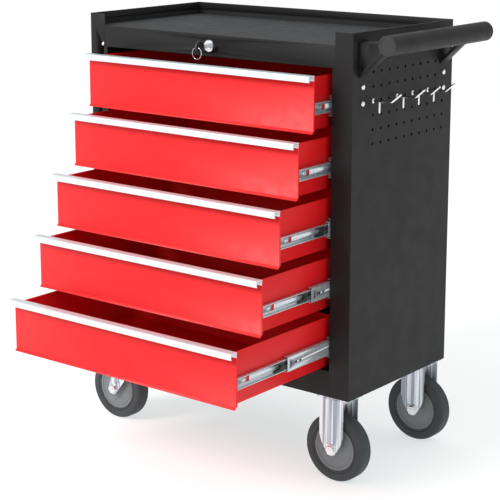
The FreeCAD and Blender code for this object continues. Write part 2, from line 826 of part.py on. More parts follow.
def lock_barrel():
    """Chromed sleeve with a tapered head, bored for the plug."""
    head = cone("lock_head", (lock_x, front_y - HEAD_LONG, lock_height), 10.6, 12, HEAD_LONG, OUT_Y)
    sleeve = rod("lock_sleeve", (lock_x, front_y - 1, lock_height), SLEEVE_RADIUS,
                 SLEEVE_LONG + 1, OUT_Y)
    bore = rod("lock_bore", (lock_x, front_y - 30, lock_height),
               dim.plug_radius + dim.running_gap, 60, OUT_Y)
    return cut("lock_bored", fuse("lock_housing", head, sleeve), bore)


def lock_nut():
    nut = hexagon("lock_nut_hexagon", (lock_x, front_y + dim.gauge, lock_height), 14, 5, OUT_Y)
    hole = rod("lock_nut_hole", (lock_x, front_y - 5, lock_height), SLEEVE_RADIUS + 0.1, 20, OUT_Y)
    return cut("lock_nut_bored", nut, hole)


def lock_cylinder():
    """The turning plug, slotted for the key."""
    plug = rod("lock_plug", (lock_x, front_y - HEAD_LONG - PLUG_PROUD, lock_height),
               dim.plug_radius, HEAD_LONG + PLUG_PROUD + PLUG_LONG, OUT_Y)
    gap = 0.2
    slot = box("lock_keyway", (lock_x - KEY_THICK / 2 - gap, lock_x + KEY_THICK / 2 + gap),
               depth_span(-HEAD_LONG - PLUG_PROUD - 1, SLOT_DEEP - HEAD_LONG),
               (lock_height - KEY_WIDE / 2 - gap, lock_height + KEY_WIDE / 2 + gap))
    return cut("lock_plug_slotted", plug, slot)


CRANK_FRONT = 287
CRANK_THICK = 3
CRANK_HALF = 3.5
CRANK_PIN = 2.5
TAIL_RADIUS = 3
CRANK_REST = -45


def lock_tail_rod():
    """A rod from the plug to the back, with a crank pin that lifts the lock bar."""
    tail = rod("tail_shaft", (lock_x, front_y + PLUG_LONG, lock_height), TAIL_RADIUS,
               CRANK_FRONT + CRANK_THICK - PLUG_LONG, OUT_Y)
    arm = box("tail_arm", (-CRANK_HALF, dim.crank_radius + CRANK_HALF),
              (CRANK_FRONT, CRANK_FRONT + CRANK_THICK), (-CRANK_HALF, CRANK_HALF))
    pin = rod("tail_pin", (dim.crank_radius, CRANK_FRONT, 0), CRANK_PIN,
              BAR_BACK + 3 - CRANK_FRONT, OUT_Y)
    crank = fuse("tail_crank", arm, pin)
    turned_down = FreeCAD.Rotation(FreeCAD.Vector(0, -1, 0), CRANK_REST)
    return fuse("tail_joined", tail, place(crank, lock_x, front_y, lock_height, turned_down))


def lock_bar():
    """The vertical bar behind the drawers, with one stop tab for each drawer."""
    head_top = lock_height + 1
    across = (lock_x + BAR_LEFT, lock_x + BAR_RIGHT)
    bar = box("bar_strip", across, depth_span(BAR_FRONT, BAR_BACK), (dim.cab_lift + 40, head_top))
    drop = dim.crank_radius * 0.7071
    slot = box("bar_slot", (lock_x + 2, lock_x + 12), depth_span(BAR_FRONT - 1, BAR_BACK + 1),
               (lock_height - drop - 3.2, lock_height - drop + 3.2))
    tabs = [
        box(f"bar_tab_{number}", (lock_x + 1, lock_x + 11), depth_span(288, BAR_FRONT + 1),
            (drawer_floor(number) + 60, drawer_floor(number) + 63))
        for number in range(1, DRAWERS + 1)
    ]
    return cut("bar_slotted", fuse("bar_joined", bar, *tabs), slot)


BOW_RADIUS = 11
BOW_CENTRE = -34
BOW_HOLE = -41
RING_RADIUS = 10.5


def key():
    """Blade in the plug and a rounded bow with a hole for the ring."""
    blade = box("key_blade", (lock_x - KEY_THICK / 2, lock_x + KEY_THICK / 2),
                depth_span(BOW_CENTRE, SLOT_DEEP - HEAD_LONG - 1),
                (lock_height - KEY_WIDE / 2, lock_height + KEY_WIDE / 2))
    bow = rod("key_bow", (lock_x - 2.5, front_y + BOW_CENTRE, lock_height), BOW_RADIUS, 5, OUT_X)
    hole = rod("key_hole", (lock_x - 5, front_y + BOW_HOLE, lock_height), 2.3, 10, OUT_X)
    return cut("key_drilled", fuse("key_joined", blade, bow), hole)


def key_ring():
    ring = doc.addObject("Part::Torus", "key_ring_torus")
    ring.Radius1 = RING_RADIUS
    ring.Radius2 = 0.9
    return place(ring, lock_x, front_y + BOW_HOLE, lock_height - RING_RADIUS, OUT_Y)


node("lock_barrel", lock_barrel())
node("lock_nut", lock_nut())
node("lock_cylinder", lock_cylinder())
node("lock_tail_rod", lock_tail_rod())
node("lock_bar", lock_bar())
node("key", key())
node("key_ring", key_ring())


# ---- casters ----

FORK_TOP_HALF = 25.3
CAP_RADIUS = 24
EYE_RADIUS = 11
FOOT_HALF = 10
SWIVEL_SHEET = 3
swivel_top = dim.cab_lift - 16
cap_top = dim.cab_lift - 10.4
race_low = dim.cab_lift - 10
PLATE_ACROSS = 35
PLATE_ALONG = 24
TREAD_ROUND = 6.5


def fork_legs(name, outline, centre, axle_x):
    """Two sheet legs with round axle eyes, one each side of the wheel."""
    x, y = centre
    legs = []
    for end in (-1, 1):
        middle = y + end * (dim.fork_half - dim.fork_thick / 2)
        leg = padded(f"{name}_leg_{end + 1}", "XZ_Plane", dim.fork_thick, outline)
        eye = rod(f"{name}_eye_{end + 1}",
                  (x + axle_x, middle - dim.fork_thick / 2, dim.wheel_radius),
                  EYE_RADIUS, dim.fork_thick, OUT_Y)
        legs += [place(leg, x, middle, 0), eye]
    return legs


def axle_hole(name, x, y):
    return rod(name, (x, y - 40, dim.wheel_radius), dim.axle_radius + 0.1, 80, OUT_Y)


def plate(name, centre):
    x, y = centre
    return box(name, (x - PLATE_ACROSS, x + PLATE_ACROSS), (y - PLATE_ALONG, y + PLATE_ALONG),
               (dim.cab_lift - PLATE_THICK, dim.cab_lift))


def rigid_forks():
    forks = []
    shoulder = dim.wheel_radius + 28
    foot = dim.wheel_radius - 4.7
    outline = [
        (-FORK_TOP_HALF, dim.cab_lift - PLATE_THICK), (FORK_TOP_HALF, dim.cab_lift - PLATE_THICK),
        (FORK_TOP_HALF, shoulder), (FOOT_HALF, foot), (-FOOT_HALF, foot), (-FORK_TOP_HALF, shoulder),
    ]
    for row, y in wheel_rows.items():
        name = "rigid_" + row
        centre = (rigid_x, y)
        legs = fork_legs(name, outline, centre, 0)
        fork = fuse(name + "_fork", plate(name + "_plate", centre), *legs)
        forks.append(cut(name + "_bored", fork, axle_hole(name + "_axle_hole", rigid_x, y)))
    return cut("rigid_drilled", group("rigid_pair", *forks), *bolt_holes("rigid_bolt_hole", ("rigid",)))


def swivel_fork(row):
    """A raked fork hung under a pressed cap that turns on the kingpin."""
    name = "swivel_" + row
    y = wheel_rows[row]
    outline = [
        (-FORK_TOP_HALF, swivel_top), (FORK_TOP_HALF, swivel_top), (FORK_TOP_HALF, swivel_top - 20),
        (8.9 - dim.trail, dim.wheel_radius - 6.4), (-10.7 - dim.trail, dim.wheel_radius + 2.5),
        (-FORK_TOP_HALF - 6, swivel_top - 26),
    ]
    legs = fork_legs(name, outline, (swivel_x, y), -dim.trail)
    crown = box(name + "_crown", (swivel_x - FORK_TOP_HALF, swivel_x + FORK_TOP_HALF),
                (y - dim.fork_half, y + dim.fork_half), (swivel_top - SWIVEL_SHEET, swivel_top))
    cap = rod(name + "_cap", (swivel_x, y, swivel_top - 1), CAP_RADIUS, cap_top - swivel_top + 1)
    pin_hole = rod(name + "_pin_hole", (swivel_x, y, swivel_top - 30),
                   dim.axle_radius + dim.running_gap, 50)
    return cut(name + "_bored", fuse(name + "_fork", crown, cap, *legs), pin_hole,
               axle_hole(name + "_axle_hole", swivel_x - dim.trail, y))


def swivel_plates():
    """Top plates with their ball race and kingpin."""
    tops = []
    head_high = swivel_top - SWIVEL_SHEET - 0.4
    for row, y in wheel_rows.items():
        name = "swivel_top_" + row
        race = rod(name + "_race", (swivel_x, y, race_low), 21, dim.cab_lift - PLATE_THICK - race_low)
        pin = rod(name + "_pin", (swivel_x, y, head_high - 3), dim.axle_radius,
                  dim.cab_lift - PLATE_THICK - head_high + 3)
        head = rod(name + "_head", (swivel_x, y, head_high - 3), 9, 3)
        tops.append(fuse(name, plate(name + "_plate", (swivel_x, y)), race, pin, head))
    return cut("swivel_tops_drilled", group("swivel_top_pair", *tops),
               *bolt_holes("swivel_bolt_hole", ("swivel",)))


def axle(name, x, y):
    """Axle bolt with its head and nut outside the fork."""
    grip = dim.fork_half
    shaft = rod(name + "_shaft", (x, y - grip, dim.wheel_radius), dim.axle_radius, grip * 2, OUT_Y)
    tall = dim.axle_head
    head = hexagon(name + "_head", (x, y - grip - tall, dim.wheel_radius), 9.2, tall, OUT_Y)
    nut = hexagon(name + "_nut", (x, y + grip, dim.wheel_radius), 9.2, tall, OUT_Y)
    return fuse(name, shaft, head, nut)


def caster_bolts():
    bolts = []
    for number, (x, y) in enumerate(bolt_places(("rigid", "swivel"))):
        low = dim.cab_lift - PLATE_THICK
        head = hexagon(f"bolt_head_{number}", (x, y, low - 4), 5.5, 4)
        shank = rod(f"bolt_shank_{number}", (x, y, low), BOLT_RADIUS, PLATE_THICK + dim.gauge)
        nut = hexagon(f"bolt_nut_{number}", (x, y, dim.cab_lift + dim.gauge), 5.5, 4)
        bolts.append(fuse(f"caster_bolt_{number}", head, shank, nut))
    return group("caster_bolt_set", *bolts)


def wheel(corner, x, y):
    """Grey tyre on a stepped hub, turned about the axle."""
    seat = dim.wheel_half - 2
    step = dim.fork_half - dim.fork_thick - 0.4
    dish = 10
    tread = [(dim.hub_radius, -seat), (dim.hub_radius, seat), (dim.wheel_radius - 7, dim.wheel_half),
             (dim.wheel_radius, dim.wheel_half), (dim.wheel_radius, -dim.wheel_half),
             (dim.wheel_radius - 7, -dim.wheel_half)]
    tyre, tyre_turn = turned("tyre_body_" + corner, tread)
    rounded_rims(tyre, tyre_turn, dim.wheel_radius, TREAD_ROUND)
    place(tyre, x, y, dim.wheel_radius)
    bore = dim.axle_radius + dim.running_gap
    side = [(bore, step), (12, step), (15, dish), (34, dish), (37, seat), (dim.hub_radius, seat)]
    hub, hub_turn = turned("hub_body_" + corner, side + [(r, -w) for r, w in reversed(side)])
    place(hub, x, y, dim.wheel_radius)
    node("tyre_" + corner, tyre)
    node("hub_" + corner, hub)


node("rigid_forks", rigid_forks())
node("swivel_plates", swivel_plates())
node("caster_bolts", caster_bolts())
wheel_left = cab_x - dim.wheel_spread
for row, y in wheel_rows.items():
    node("swivel_fork_" + row, swivel_fork(row))
    node("swivel_axle_" + row, axle("swivel_bolt_" + row, wheel_left, y))
    wheel("left_" + row, wheel_left, y)
    wheel("right_" + row, rigid_x, y)
node("rigid_axles", group("rigid_axle_pair", *[
    axle("rigid_bolt_" + row, rigid_x, y) for row, y in wheel_rows.items()]))

# ---- check and write ----

doc.recompute()
for thing in doc.Objects:
    assert not {"Invalid", "Error"} & set(thing.State), f"{thing.Label} did not compute"

os.makedirs("parts", exist_ok=True)
for name, thing in NODES.items():
    shape = thing.Shape
    assert not shape.isNull() and shape.isValid(), f"{name} has a bad shape"
    shape.exportStep(f"parts/{name}.step")

bounds = FreeCAD.BoundBox()
for thing in NODES.values():
    bounds.add(thing.Shape.BoundBox)
print(len(NODES), "nodes", bounds)
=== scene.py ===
"""Looks of the five-drawer tool cart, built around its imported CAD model.

Metres, +Z up, the drawers open towards -Y and the push handle is on +X. Places come from
the CAD nodes' boxes, and the profiles of small parts are written in millimetres around them.
"""
import math

import bmesh
import bpy
from mathutils import Matrix, Vector


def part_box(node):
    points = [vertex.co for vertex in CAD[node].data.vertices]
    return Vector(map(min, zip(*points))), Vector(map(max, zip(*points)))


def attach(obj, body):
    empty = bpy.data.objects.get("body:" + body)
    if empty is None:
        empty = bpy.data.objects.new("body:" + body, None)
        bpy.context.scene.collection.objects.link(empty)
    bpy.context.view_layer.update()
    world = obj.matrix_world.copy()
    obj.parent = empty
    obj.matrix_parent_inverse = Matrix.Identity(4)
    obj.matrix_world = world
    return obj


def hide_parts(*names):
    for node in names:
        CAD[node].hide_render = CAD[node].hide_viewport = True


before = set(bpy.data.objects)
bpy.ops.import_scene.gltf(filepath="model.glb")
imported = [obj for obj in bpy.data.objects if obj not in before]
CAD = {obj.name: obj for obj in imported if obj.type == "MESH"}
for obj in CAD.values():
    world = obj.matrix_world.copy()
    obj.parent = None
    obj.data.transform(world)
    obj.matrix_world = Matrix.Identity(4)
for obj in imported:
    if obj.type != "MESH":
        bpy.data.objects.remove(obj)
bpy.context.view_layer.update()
MM = 0.001
BOLD_EDGE = 0.5 * MM
SHEET_EDGE = 0.4 * MM
FINE_EDGE = 0.3 * MM
SAME_SPOT = 0.001 * MM
DRAWERS = range(1, 6)
ROWS = ("front", "rear")
SIDES = (-1, 1)


# ---- materials ----

class Shader:
    """A short way to write one node material."""

    def __init__(self, name, colour, roughness, metallic=0.0, **sockets):
        self.material = bpy.data.materials.new(name)
        self.material.use_nodes = True
        self.material.diffuse_color = (*colour, 1)
        self.tree = self.material.node_tree
        self.surface = self.tree.nodes["Principled BSDF"]
        self.colour = colour
        self.surface.inputs["Base Color"].default_value = (*colour, 1)
        self.surface.inputs["Roughness"].default_value = roughness
        self.surface.inputs["Metallic"].default_value = metallic
        for socket, value in sockets.items():
            self.surface.inputs[socket.replace("_", " ")].default_value = value
        self.place = self.tree.nodes.new("ShaderNodeTexCoord").outputs["Object"]
        self.normal = None

    def link(self, output, socket):
        """Feed one socket from an output."""
        self.tree.links.new(output, socket)

    def stretched(self, scale):
        """Object coordinates scaled differently along each axis, for grain."""
        mapping = self.tree.nodes.new("ShaderNodeMapping")
        mapping.inputs["Scale"].default_value = scale
        self.link(self.place, mapping.inputs["Vector"])
        return mapping.outputs["Vector"]

    def noise(self, scale, detail=2.0, roughness=0.5, vector=None):
        """Soft cloudy variation."""
        node = self.tree.nodes.new("ShaderNodeTexNoise")
        node.inputs["Scale"].default_value = scale
        node.inputs["Detail"].default_value = detail
        node.inputs["Roughness"].default_value = roughness
        self.link(vector or self.place, node.inputs["Vector"])
        return node.outputs["Fac"]

    def spots(self, scale, feature="F1"):
        """Rounded cells."""
        node = self.tree.nodes.new("ShaderNodeTexVoronoi")
        node.feature = feature
        node.inputs["Scale"].default_value = scale
        self.link(self.place, node.inputs["Vector"])
        return node.outputs["Distance"]

    def ramp(self, factor, low, high):
        """A factor between two colours, from its low stop to its high stop."""
        node = self.tree.nodes.new("ShaderNodeValToRGB")
        for element, (stop, colour) in zip(node.color_ramp.elements, (low, high)):
            element.position = stop
            element.color = (*colour, 1)
        self.link(factor, node.inputs["Fac"])
        return node.outputs["Color"]

    def tint(self, factor, change):
        """Vary the base colour between darker and lighter by a share of itself."""
        dark = tuple(c * (1 - change) for c in self.colour)
        light = tuple(min(1, c * (1 + change)) for c in self.colour)
        self.link(self.ramp(factor, (0.3, dark), (0.7, light)), self.surface.inputs["Base Color"])

    def polish(self, factor, low, high):
        """Vary the roughness between two values."""
        grey = self.ramp(factor, (0.3, (low,) * 3), (0.7, (high,) * 3))
        self.link(grey, self.surface.inputs["Roughness"])

    def bump(self, height, strength, distance):
        """Stack one layer of relief on those before it."""
        node = self.tree.nodes.new("ShaderNodeBump")
        node.inputs["Strength"].default_value = strength
        node.inputs["Distance"].default_value = distance
        self.link(height, node.inputs["Height"])
        if self.normal:
            self.link(self.normal, node.inputs["Normal"])
        self.normal = node.outputs["Normal"]
        self.link(self.normal, self.surface.inputs["Normal"])


def black_paint():
    """Satin powder coat with a fine orange peel."""
    paint = Shader("black_powder_coat", (0.0115, 0.0115, 0.012), 0.50, Specular_IOR_Level=0.24)
    paint.tint(paint.noise(6, 4), 0.08)
    paint.polish(paint.noise(35, 3), 0.46, 0.55)
    paint.bump(paint.noise(1600, 2), 0.10, 0.0001)
    paint.bump(paint.noise(420, 2), 0.04, 0.0002)
    return paint.material


def red_paint():
    """Gloss red powder coat, a little uneven as sprayed paint is."""
    paint = Shader("red_gloss_coat", (0.79, 0.0105, 0.0130), 0.42, Specular_IOR_Level=0.30)
    paint.tint(paint.noise(5, 3), 0.035)
    paint.polish(paint.noise(40, 3), 0.36, 0.48)
    paint.bump(paint.noise(700, 2), 0.10, 0.0002)
    paint.bump(paint.noise(160, 2), 0.05, 0.0004)
    return paint.material


def zinc_steel():
    """Bright zinc on pressed steel: cloudy, with faint rolling marks."""
    steel = Shader("bright_zinc", (0.64, 0.70, 0.74), 0.28, 0.6)
    steel.tint(steel.noise(90, 4, 0.6), 0.03)
    steel.polish(steel.noise(120, 4), 0.20, 0.30)
    steel.bump(steel.noise(40, 2), 0.02, 0.0002)
    return steel.material


def zinc_with_painted_reflections():
    """Bright zinc on deep-drawn steel with painted reflections: bright and dark bands down the leg stand
    in for the light and shade its pressed rib reflects, and the same bands also vary its roughness and
    relief.
    """
    steel = Shader("drawn_zinc_painted_reflections", (0.66, 0.69, 0.74), 0.28, 0.6)
    relief_and_painted_reflections = steel.noise(1, 1, 0.5, steel.stretched((170, 170, 3)))
    # Painted reflections: the dark stop and the light stop are shade and highlight bands painted down the
    # leg, not the zinc's own colour.
    steel.link(steel.ramp(relief_and_painted_reflections, (0.40, (0.32, 0.38, 0.44)), (0.52, (0.80, 0.87, 0.91))),
               steel.surface.inputs["Base Color"])
    steel.polish(relief_and_painted_reflections, 0.20, 0.34)
    steel.bump(relief_and_painted_reflections, 0.25, 0.0004)
    return steel.material


def aluminium():
    """Satin anodised extrusion with its die lines along X."""
    metal = Shader("satin_aluminium", (0.71, 0.78, 0.82), 0.38, 0.4)
    lines = metal.noise(1, 4, 0.6, metal.stretched((3, 900, 900)))
    metal.tint(lines, 0.05)
    metal.polish(lines, 0.30, 0.42)
    metal.bump(lines, 0.12, 0.0001)
    return metal.material


def chrome():
    """Polished plating with a little haze."""
    metal = Shader("polished_chrome", (0.82, 0.83, 0.85), 0.09, 1.0)
    metal.tint(metal.noise(80, 3), 0.04)
    metal.polish(metal.noise(150, 4), 0.05, 0.14)
    metal.bump(metal.noise(500, 2), 0.03, 0.0001)
    return metal.material


def black_plastic():
    """Spark-eroded moulded plastic."""
    plastic = Shader("moulded_black_plastic", (0.022, 0.022, 0.023), 0.5, Specular_IOR_Level=0.45)
    plastic.tint(plastic.noise(50, 3), 0.12)
    plastic.polish(plastic.noise(90, 2), 0.44, 0.58)
    plastic.bump(plastic.spots(1400), 0.16, 0.0002)
    return plastic.material


def mat_rubber():
    """Pebbled tray mat."""
    rubber = Shader("pebbled_mat", (0.043, 0.045, 0.047), 0.78, Specular_IOR_Level=0.2)
    rubber.tint(rubber.noise(30, 4), 0.16)
    rubber.polish(rubber.noise(70, 2), 0.62, 0.80)
    rubber.bump(rubber.spots(420, "SMOOTH_F1"), 0.45, 0.0006)
    rubber.bump(rubber.noise(900, 2), 0.20, 0.0002)
    return rubber.material


def tyre_grey():
    """Soft non-marking tread rubber, a little dusty."""
    rubber = Shader("grey_tread_rubber", (0.049, 0.057, 0.060), 0.62, Specular_IOR_Level=0.3)
    rubber.tint(rubber.noise(25, 5, 0.6), 0.14)
    rubber.polish(rubber.noise(60, 3), 0.54, 0.72)
    rubber.bump(rubber.noise(800, 2), 0.18, 0.0002)
    rubber.bump(rubber.noise(110, 2), 0.08, 0.0005)
    return rubber.material


def hub_grey():
    """Moulded nylon hub."""
    nylon = Shader("grey_nylon", (0.184, 0.205, 0.213), 0.5, Specular_IOR_Level=0.4)
    nylon.tint(nylon.noise(30, 3), 0.07)
    nylon.polish(nylon.noise(70, 2), 0.42, 0.58)
    nylon.bump(nylon.noise(600, 2), 0.10, 0.0002)
    return nylon.material


MAKERS = (black_paint, red_paint, zinc_steel, zinc_with_painted_reflections, aluminium, chrome, black_plastic, mat_rubber,
          tyre_grey, hub_grey)
MATERIALS = {maker.__name__: maker() for maker in MAKERS}


# ---- mesh helpers ----

def rounded(points, radii, closed=True, steps=4):
    """A polyline whose corners are arcs; radii is one number or one per corner."""
    straight = 0.02
    room = 0.49
    points = [Vector(p) for p in points]
    if not isinstance(radii, (list, tuple)):
        radii = [radii] * len(points)
    result = []
    for index, (corner, radius) in enumerate(zip(points, radii)):
        if radius <= 0 or (not closed and index in (0, len(points) - 1)):
            result.append(corner)
            continue
        back = points[index - 1] - corner
        on = points[(index + 1) % len(points)] - corner
        angle = back.angle(on)
        if math.pi - angle < straight:
            result.append(corner)
            continue
        reach = min(radius / math.tan(angle / 2), room * back.length, room * on.length)
        radius = reach * math.tan(angle / 2)
        back.normalize()
        on.normalize()
        centre = corner + (back + on).normalized() * radius / math.sin(angle / 2)
        start = corner + back * reach - centre
        end = corner + on * reach - centre
        sweep = math.pi - angle
        sign = 1 if start.x * end.y - start.y * end.x > 0 else -1
        for step in range(steps + 1):
            turn = sign * sweep * step / steps
            result.append(centre + Matrix.Rotation(turn, 2) @ start)
    return [tuple(p) for p in result]


def circle(count, start=0.0):
    """(cosine, sine) pairs evenly round one turn."""
    turns = [start + math.tau * k / count for k in range(count)]
    return [(math.cos(turn), math.sin(turn)) for turn in turns]


def stitch(bm, one, two):
    """Join two rings of as many corners with a band of quads."""
    for k in range(len(one)):
        after = (k + 1) % len(one)
        bm.faces.new((one[k], one[after], two[after], two[k]))


PLANES = {
    "YZ": lambda u, v, w: Vector((w, u, v)),
    "XZ": lambda u, v, w: Vector((u, w, v)),
    "XY": lambda u, v, w: Vector((u, v, w)),
}


def into(bm, outline, plane, low, high):
    """Add a prism of one outline to a mesh being built."""
    lay = PLANES[plane]
    near = [bm.verts.new(lay(*p, low)) for p in outline]
    far = [bm.verts.new(lay(*p, high)) for p in outline]
    bm.faces.new(near)
    bm.faces.new(far[::-1])
    stitch(bm, near, far)


def lathe_into(bm, profile, centre, axis, segments=48):
    """Add a turned shape to a mesh; profile is (radius, height) pairs along the axis."""
    turn = Vector((0, 0, 1)).rotation_difference(Vector(axis)).to_matrix()
    rings = []
    for radius, height in profile:
        if radius < 1e-7:
            rings.append([bm.verts.new(Vector(centre) + turn @ Vector((0, 0, height)))])
            continue
        rings.append([bm.verts.new(Vector(centre) + turn @ Vector((radius * c, radius * s, height)))
                      for c, s in circle(segments)])
    closed = len(rings[0]) > 1 and len(rings[-1]) > 1
    pairs = list(zip(rings, rings[1:])) + ([(rings[-1], rings[0])] if closed else [])
    for one, two in pairs:
        for k in range(segments):
            after = (k + 1) % segments
            quad = [one[k % len(one)], one[after % len(one)], two[after % len(two)], two[k % len(two)]]
            unique = list(dict.fromkeys(quad))
            if len(unique) > 2:
                bm.faces.new(unique)


def mirrored(profile):
    """Half a turned profile and its mirror image across the middle."""
    return profile + [(radius, -height) for radius, height in reversed(profile)]


def sweep_into(bm, path, radius, sides=12, closed=False):
    """Add a round wire along a path, its open ends domed."""
    path = [Vector(p) for p in path]
    count = len(path)
    tangents = []
    for index in range(count):
        if closed:
            tangents.append((path[(index + 1) % count] - path[index - 1]).normalized())
        else:
            tangents.append((path[min(index + 1, count - 1)] - path[max(index - 1, 0)]).normalized())
    normal = tangents[0].orthogonal().normalized()
    stations = []
    for index, tangent in enumerate(tangents):
        normal = (normal - tangent * normal.dot(tangent)).normalized()
        stations.append((path[index], tangent, normal.copy(), radius))
    if not closed:
        dome = [(radius * math.sin(a), radius * math.cos(a)) for a in map(math.radians, (75, 50, 25))]
        point, tangent, side, _ = stations[0]
        head = [(point - tangent * out, tangent, side, size) for out, size in dome]
        point, tangent, side, _ = stations[-1]
        tail = [(point + tangent * out, tangent, side, size) for out, size in dome]
        stations = head + stations + tail[::-1]
    rings = []
    for point, tangent, side, size in stations:
        up = tangent.cross(side)
        rings.append([bm.verts.new(point + size * (side * c + up * s)) for c, s in circle(sides)])
    if not closed:
        bm.faces.new(rings[0])
        bm.faces.new(rings[-1][::-1])
    for one, two in list(zip(rings, rings[1:])) + ([(rings[-1], rings[0])] if closed else []):
        stitch(bm, one, two)


def block_into(bm, low, high):
    """Add a box between two corners."""
    xs, ys, zs = zip(low, high)
    into(bm, [(xs[0], ys[0]), (xs[1], ys[0]), (xs[1], ys[1]), (xs[0], ys[1])], "XY", zs[0], zs[1])


def make(name, bm, sharp=35):
    """Turn a built mesh into an object with smooth shading up to an angle."""
    bmesh.ops.recalc_face_normals(bm, faces=bm.faces)
    mesh = bpy.data.meshes.new(name)
    bm.to_mesh(mesh)
    bm.free()
    mesh.polygons.foreach_set("use_smooth", [True] * len(mesh.polygons))
    mesh.set_sharp_from_angle(angle=math.radians(sharp))
    thing = bpy.data.objects.new(name, mesh)
    bpy.context.scene.collection.objects.link(thing)
    return thing


def carve(thing, cutter):
    """Cut one object with another at once, and drop the cutter.

    The fast solver takes over where the exact one gives back nothing.
    """
    change = thing.modifiers.new("carve", "BOOLEAN")
    change.object = cutter
    change.operation = "DIFFERENCE"
    for solver in ("EXACT", "FAST"):
        change.solver = solver
        graph = bpy.context.evaluated_depsgraph_get()
        mesh = bpy.data.meshes.new_from_object(thing.evaluated_get(graph))
        if mesh.polygons:
            break
    thing.modifiers.clear()
    thing.data = mesh
    bpy.data.objects.remove(cutter)


def soften(thing, width, segments=2, angle=40):
    """Small rounded edges."""
    edge = thing.modifiers.new("soften", "BEVEL")
    edge.width = width
    edge.segments = segments
    edge.limit_method = "ANGLE"
    edge.angle_limit = math.radians(angle)
    edge.use_clamp_overlap = True
    edge.harden_normals = True


def dress(thing, look, body, stands_for=()):
    """Give a piece its material and its body, and hide the nodes it stands for."""
    thing.data.materials.clear()
    thing.data.materials.append(MATERIALS[look])
    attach(thing, body)
    if stands_for:
        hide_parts(*stands_for)


def coat(name, look, width=SHEET_EDGE, segments=2):
    """Material for a CAD node that stays, and softened edges unless width is 0."""
    thing = CAD[name]
    thing.data.materials.clear()
    thing.data.materials.append(MATERIALS[look])
    for polygon in thing.data.polygons:
        polygon.use_smooth = True
    if width:
        weld = thing.modifiers.new("weld", "WELD")
        weld.merge_threshold = SAME_SPOT
        soften(thing, width, segments, 30)


def middle(low, high):
    """Halfway between two numbers or two corners."""
    return (low + high) / 2


CABINET_LOW, CABINET_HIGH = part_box("side_panel_right")
LEFT_LOW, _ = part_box("side_panel_left")
MID_X = middle(LEFT_LOW.x, CABINET_HIGH.x)
FRONT = CABINET_LOW.y
BACK = CABINET_HIGH.y
RIM = CABINET_HIGH.z
UNDER = CABINET_LOW.z


# ---- cabinet ----

coat("side_panel_left", "black_paint", BOLD_EDGE)
coat("side_panel_right", "black_paint", 0)
for name in ("back_panel", "base_pan", "top_fascia", "top_tray", "front_uprights", "rear_uprights",
             "handle_bracket_front", "handle_bracket_rear"):
    coat(name, "black_paint")
for name in ("lock_guides", "lock_bar", "lock_tail_rod"):
    coat(name, "zinc_steel", FINE_EDGE, 1)


def tray_mat():
    """Mat with rounded corners and edges, as big as the tray floor."""
    low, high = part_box("tray_mat")
    corner_radius = 6 * MM
    bm = bmesh.new()
    outline = rounded([(low.x, low.y), (high.x, low.y), (high.x, high.y), (low.x, high.y)], corner_radius)
    into(bm, outline, "XY", low.z, high.z)
    mat = make("tray_mat_pebbled", bm)
    soften(mat, 0.9 * MM, 3, 50)
    dress(mat, "mat_rubber", "cabinet", stands_for=["tray_mat"])


tray_mat()


def screw_head(bm, centre, axis, radius, height):
    """A pan head with a domed edge, standing on a surface."""
    lathe_into(bm, [(0, 0), (radius, 0), (radius, height * 0.35), (radius * 0.93, height * 0.7),
                    (radius * 0.75, height * 0.92), (radius * 0.45, height), (0, height)],
               centre, axis, 28)


def cross_cutter(centre, axis, radius, depth):
    """A cross recess for a screw head."""
    side = axis.orthogonal().normalized()
    other = axis.cross(side)
    bm = bmesh.new()
    width = radius * 0.17
    reach = radius * 0.58
    taper = 0.55
    for along, across in ((side, other), (other, side)):
        corners = [centre + along * a * reach + across * b * width for a, b in
                   ((-1, -1), (1, -1), (1, 1), (-1, 1))]
        top = [bm.verts.new(c + axis * depth) for c in corners]
        low = [bm.verts.new(centre + (c - centre) * taper - axis * depth * 0.3) for c in corners]
        bm.faces.new(top)
        bm.faces.new(low[::-1])
        stitch(bm, top, low)
    return make("cutter", bm)


def islands(node):
    """The separate solids of a CAD node as (lowest, highest) corners."""
    bm = bmesh.new()
    bm.from_mesh(CAD[node].data)
    bmesh.ops.remove_doubles(bm, verts=bm.verts, dist=SAME_SPOT)
    left = set(bm.verts)
    boxes = []
    while left:
        front = [left.pop()]
        seen = list(front)
        while front:
            vert = front.pop()
            for edge in vert.link_edges:
                other = edge.other_vert(vert)
                if other in left:
                    left.remove(other)
                    front.append(other)
                    seen.append(other)
        xs, ys, zs = zip(*(v.co for v in seen))
        boxes.append((Vector((min(xs), min(ys), min(zs))), Vector((max(xs), max(ys), max(zs)))))
    bm.free()
    return sorted(boxes, key=lambda box: tuple(box[0]))


def panel_screws():
    """Cross-recess pan heads on the right panel and on the left post."""
    side_radius = 4.8 * MM
    post_radius = 3.6 * MM
    head_height = 2.8 * MM
    recess_up = 2.2 * MM
    recess_depth = 1.2 * MM
    sunk = 0.1 * MM
    stood = ["panel_screws"]
    for number, (low, high) in enumerate(islands("panel_screws")):
        seat = middle(low, high)
        if high.x > CABINET_HIGH.x:
            seat.x = CABINET_HIGH.x
            axis, radius = Vector((1, 0, 0)), side_radius
        else:
            seat.y = FRONT
            axis, radius = Vector((0, -1, 0)), post_radius
        bm = bmesh.new()
        screw_head(bm, seat - axis * sunk, axis, radius, head_height)
        head = make(f"panel_screw_{number}", bm, 40)
        carve(head, cross_cutter(seat + axis * recess_up, axis, radius, recess_depth))
        dress(head, "chrome", "cabinet", stands_for=stood)
        stood = ()


panel_screws()


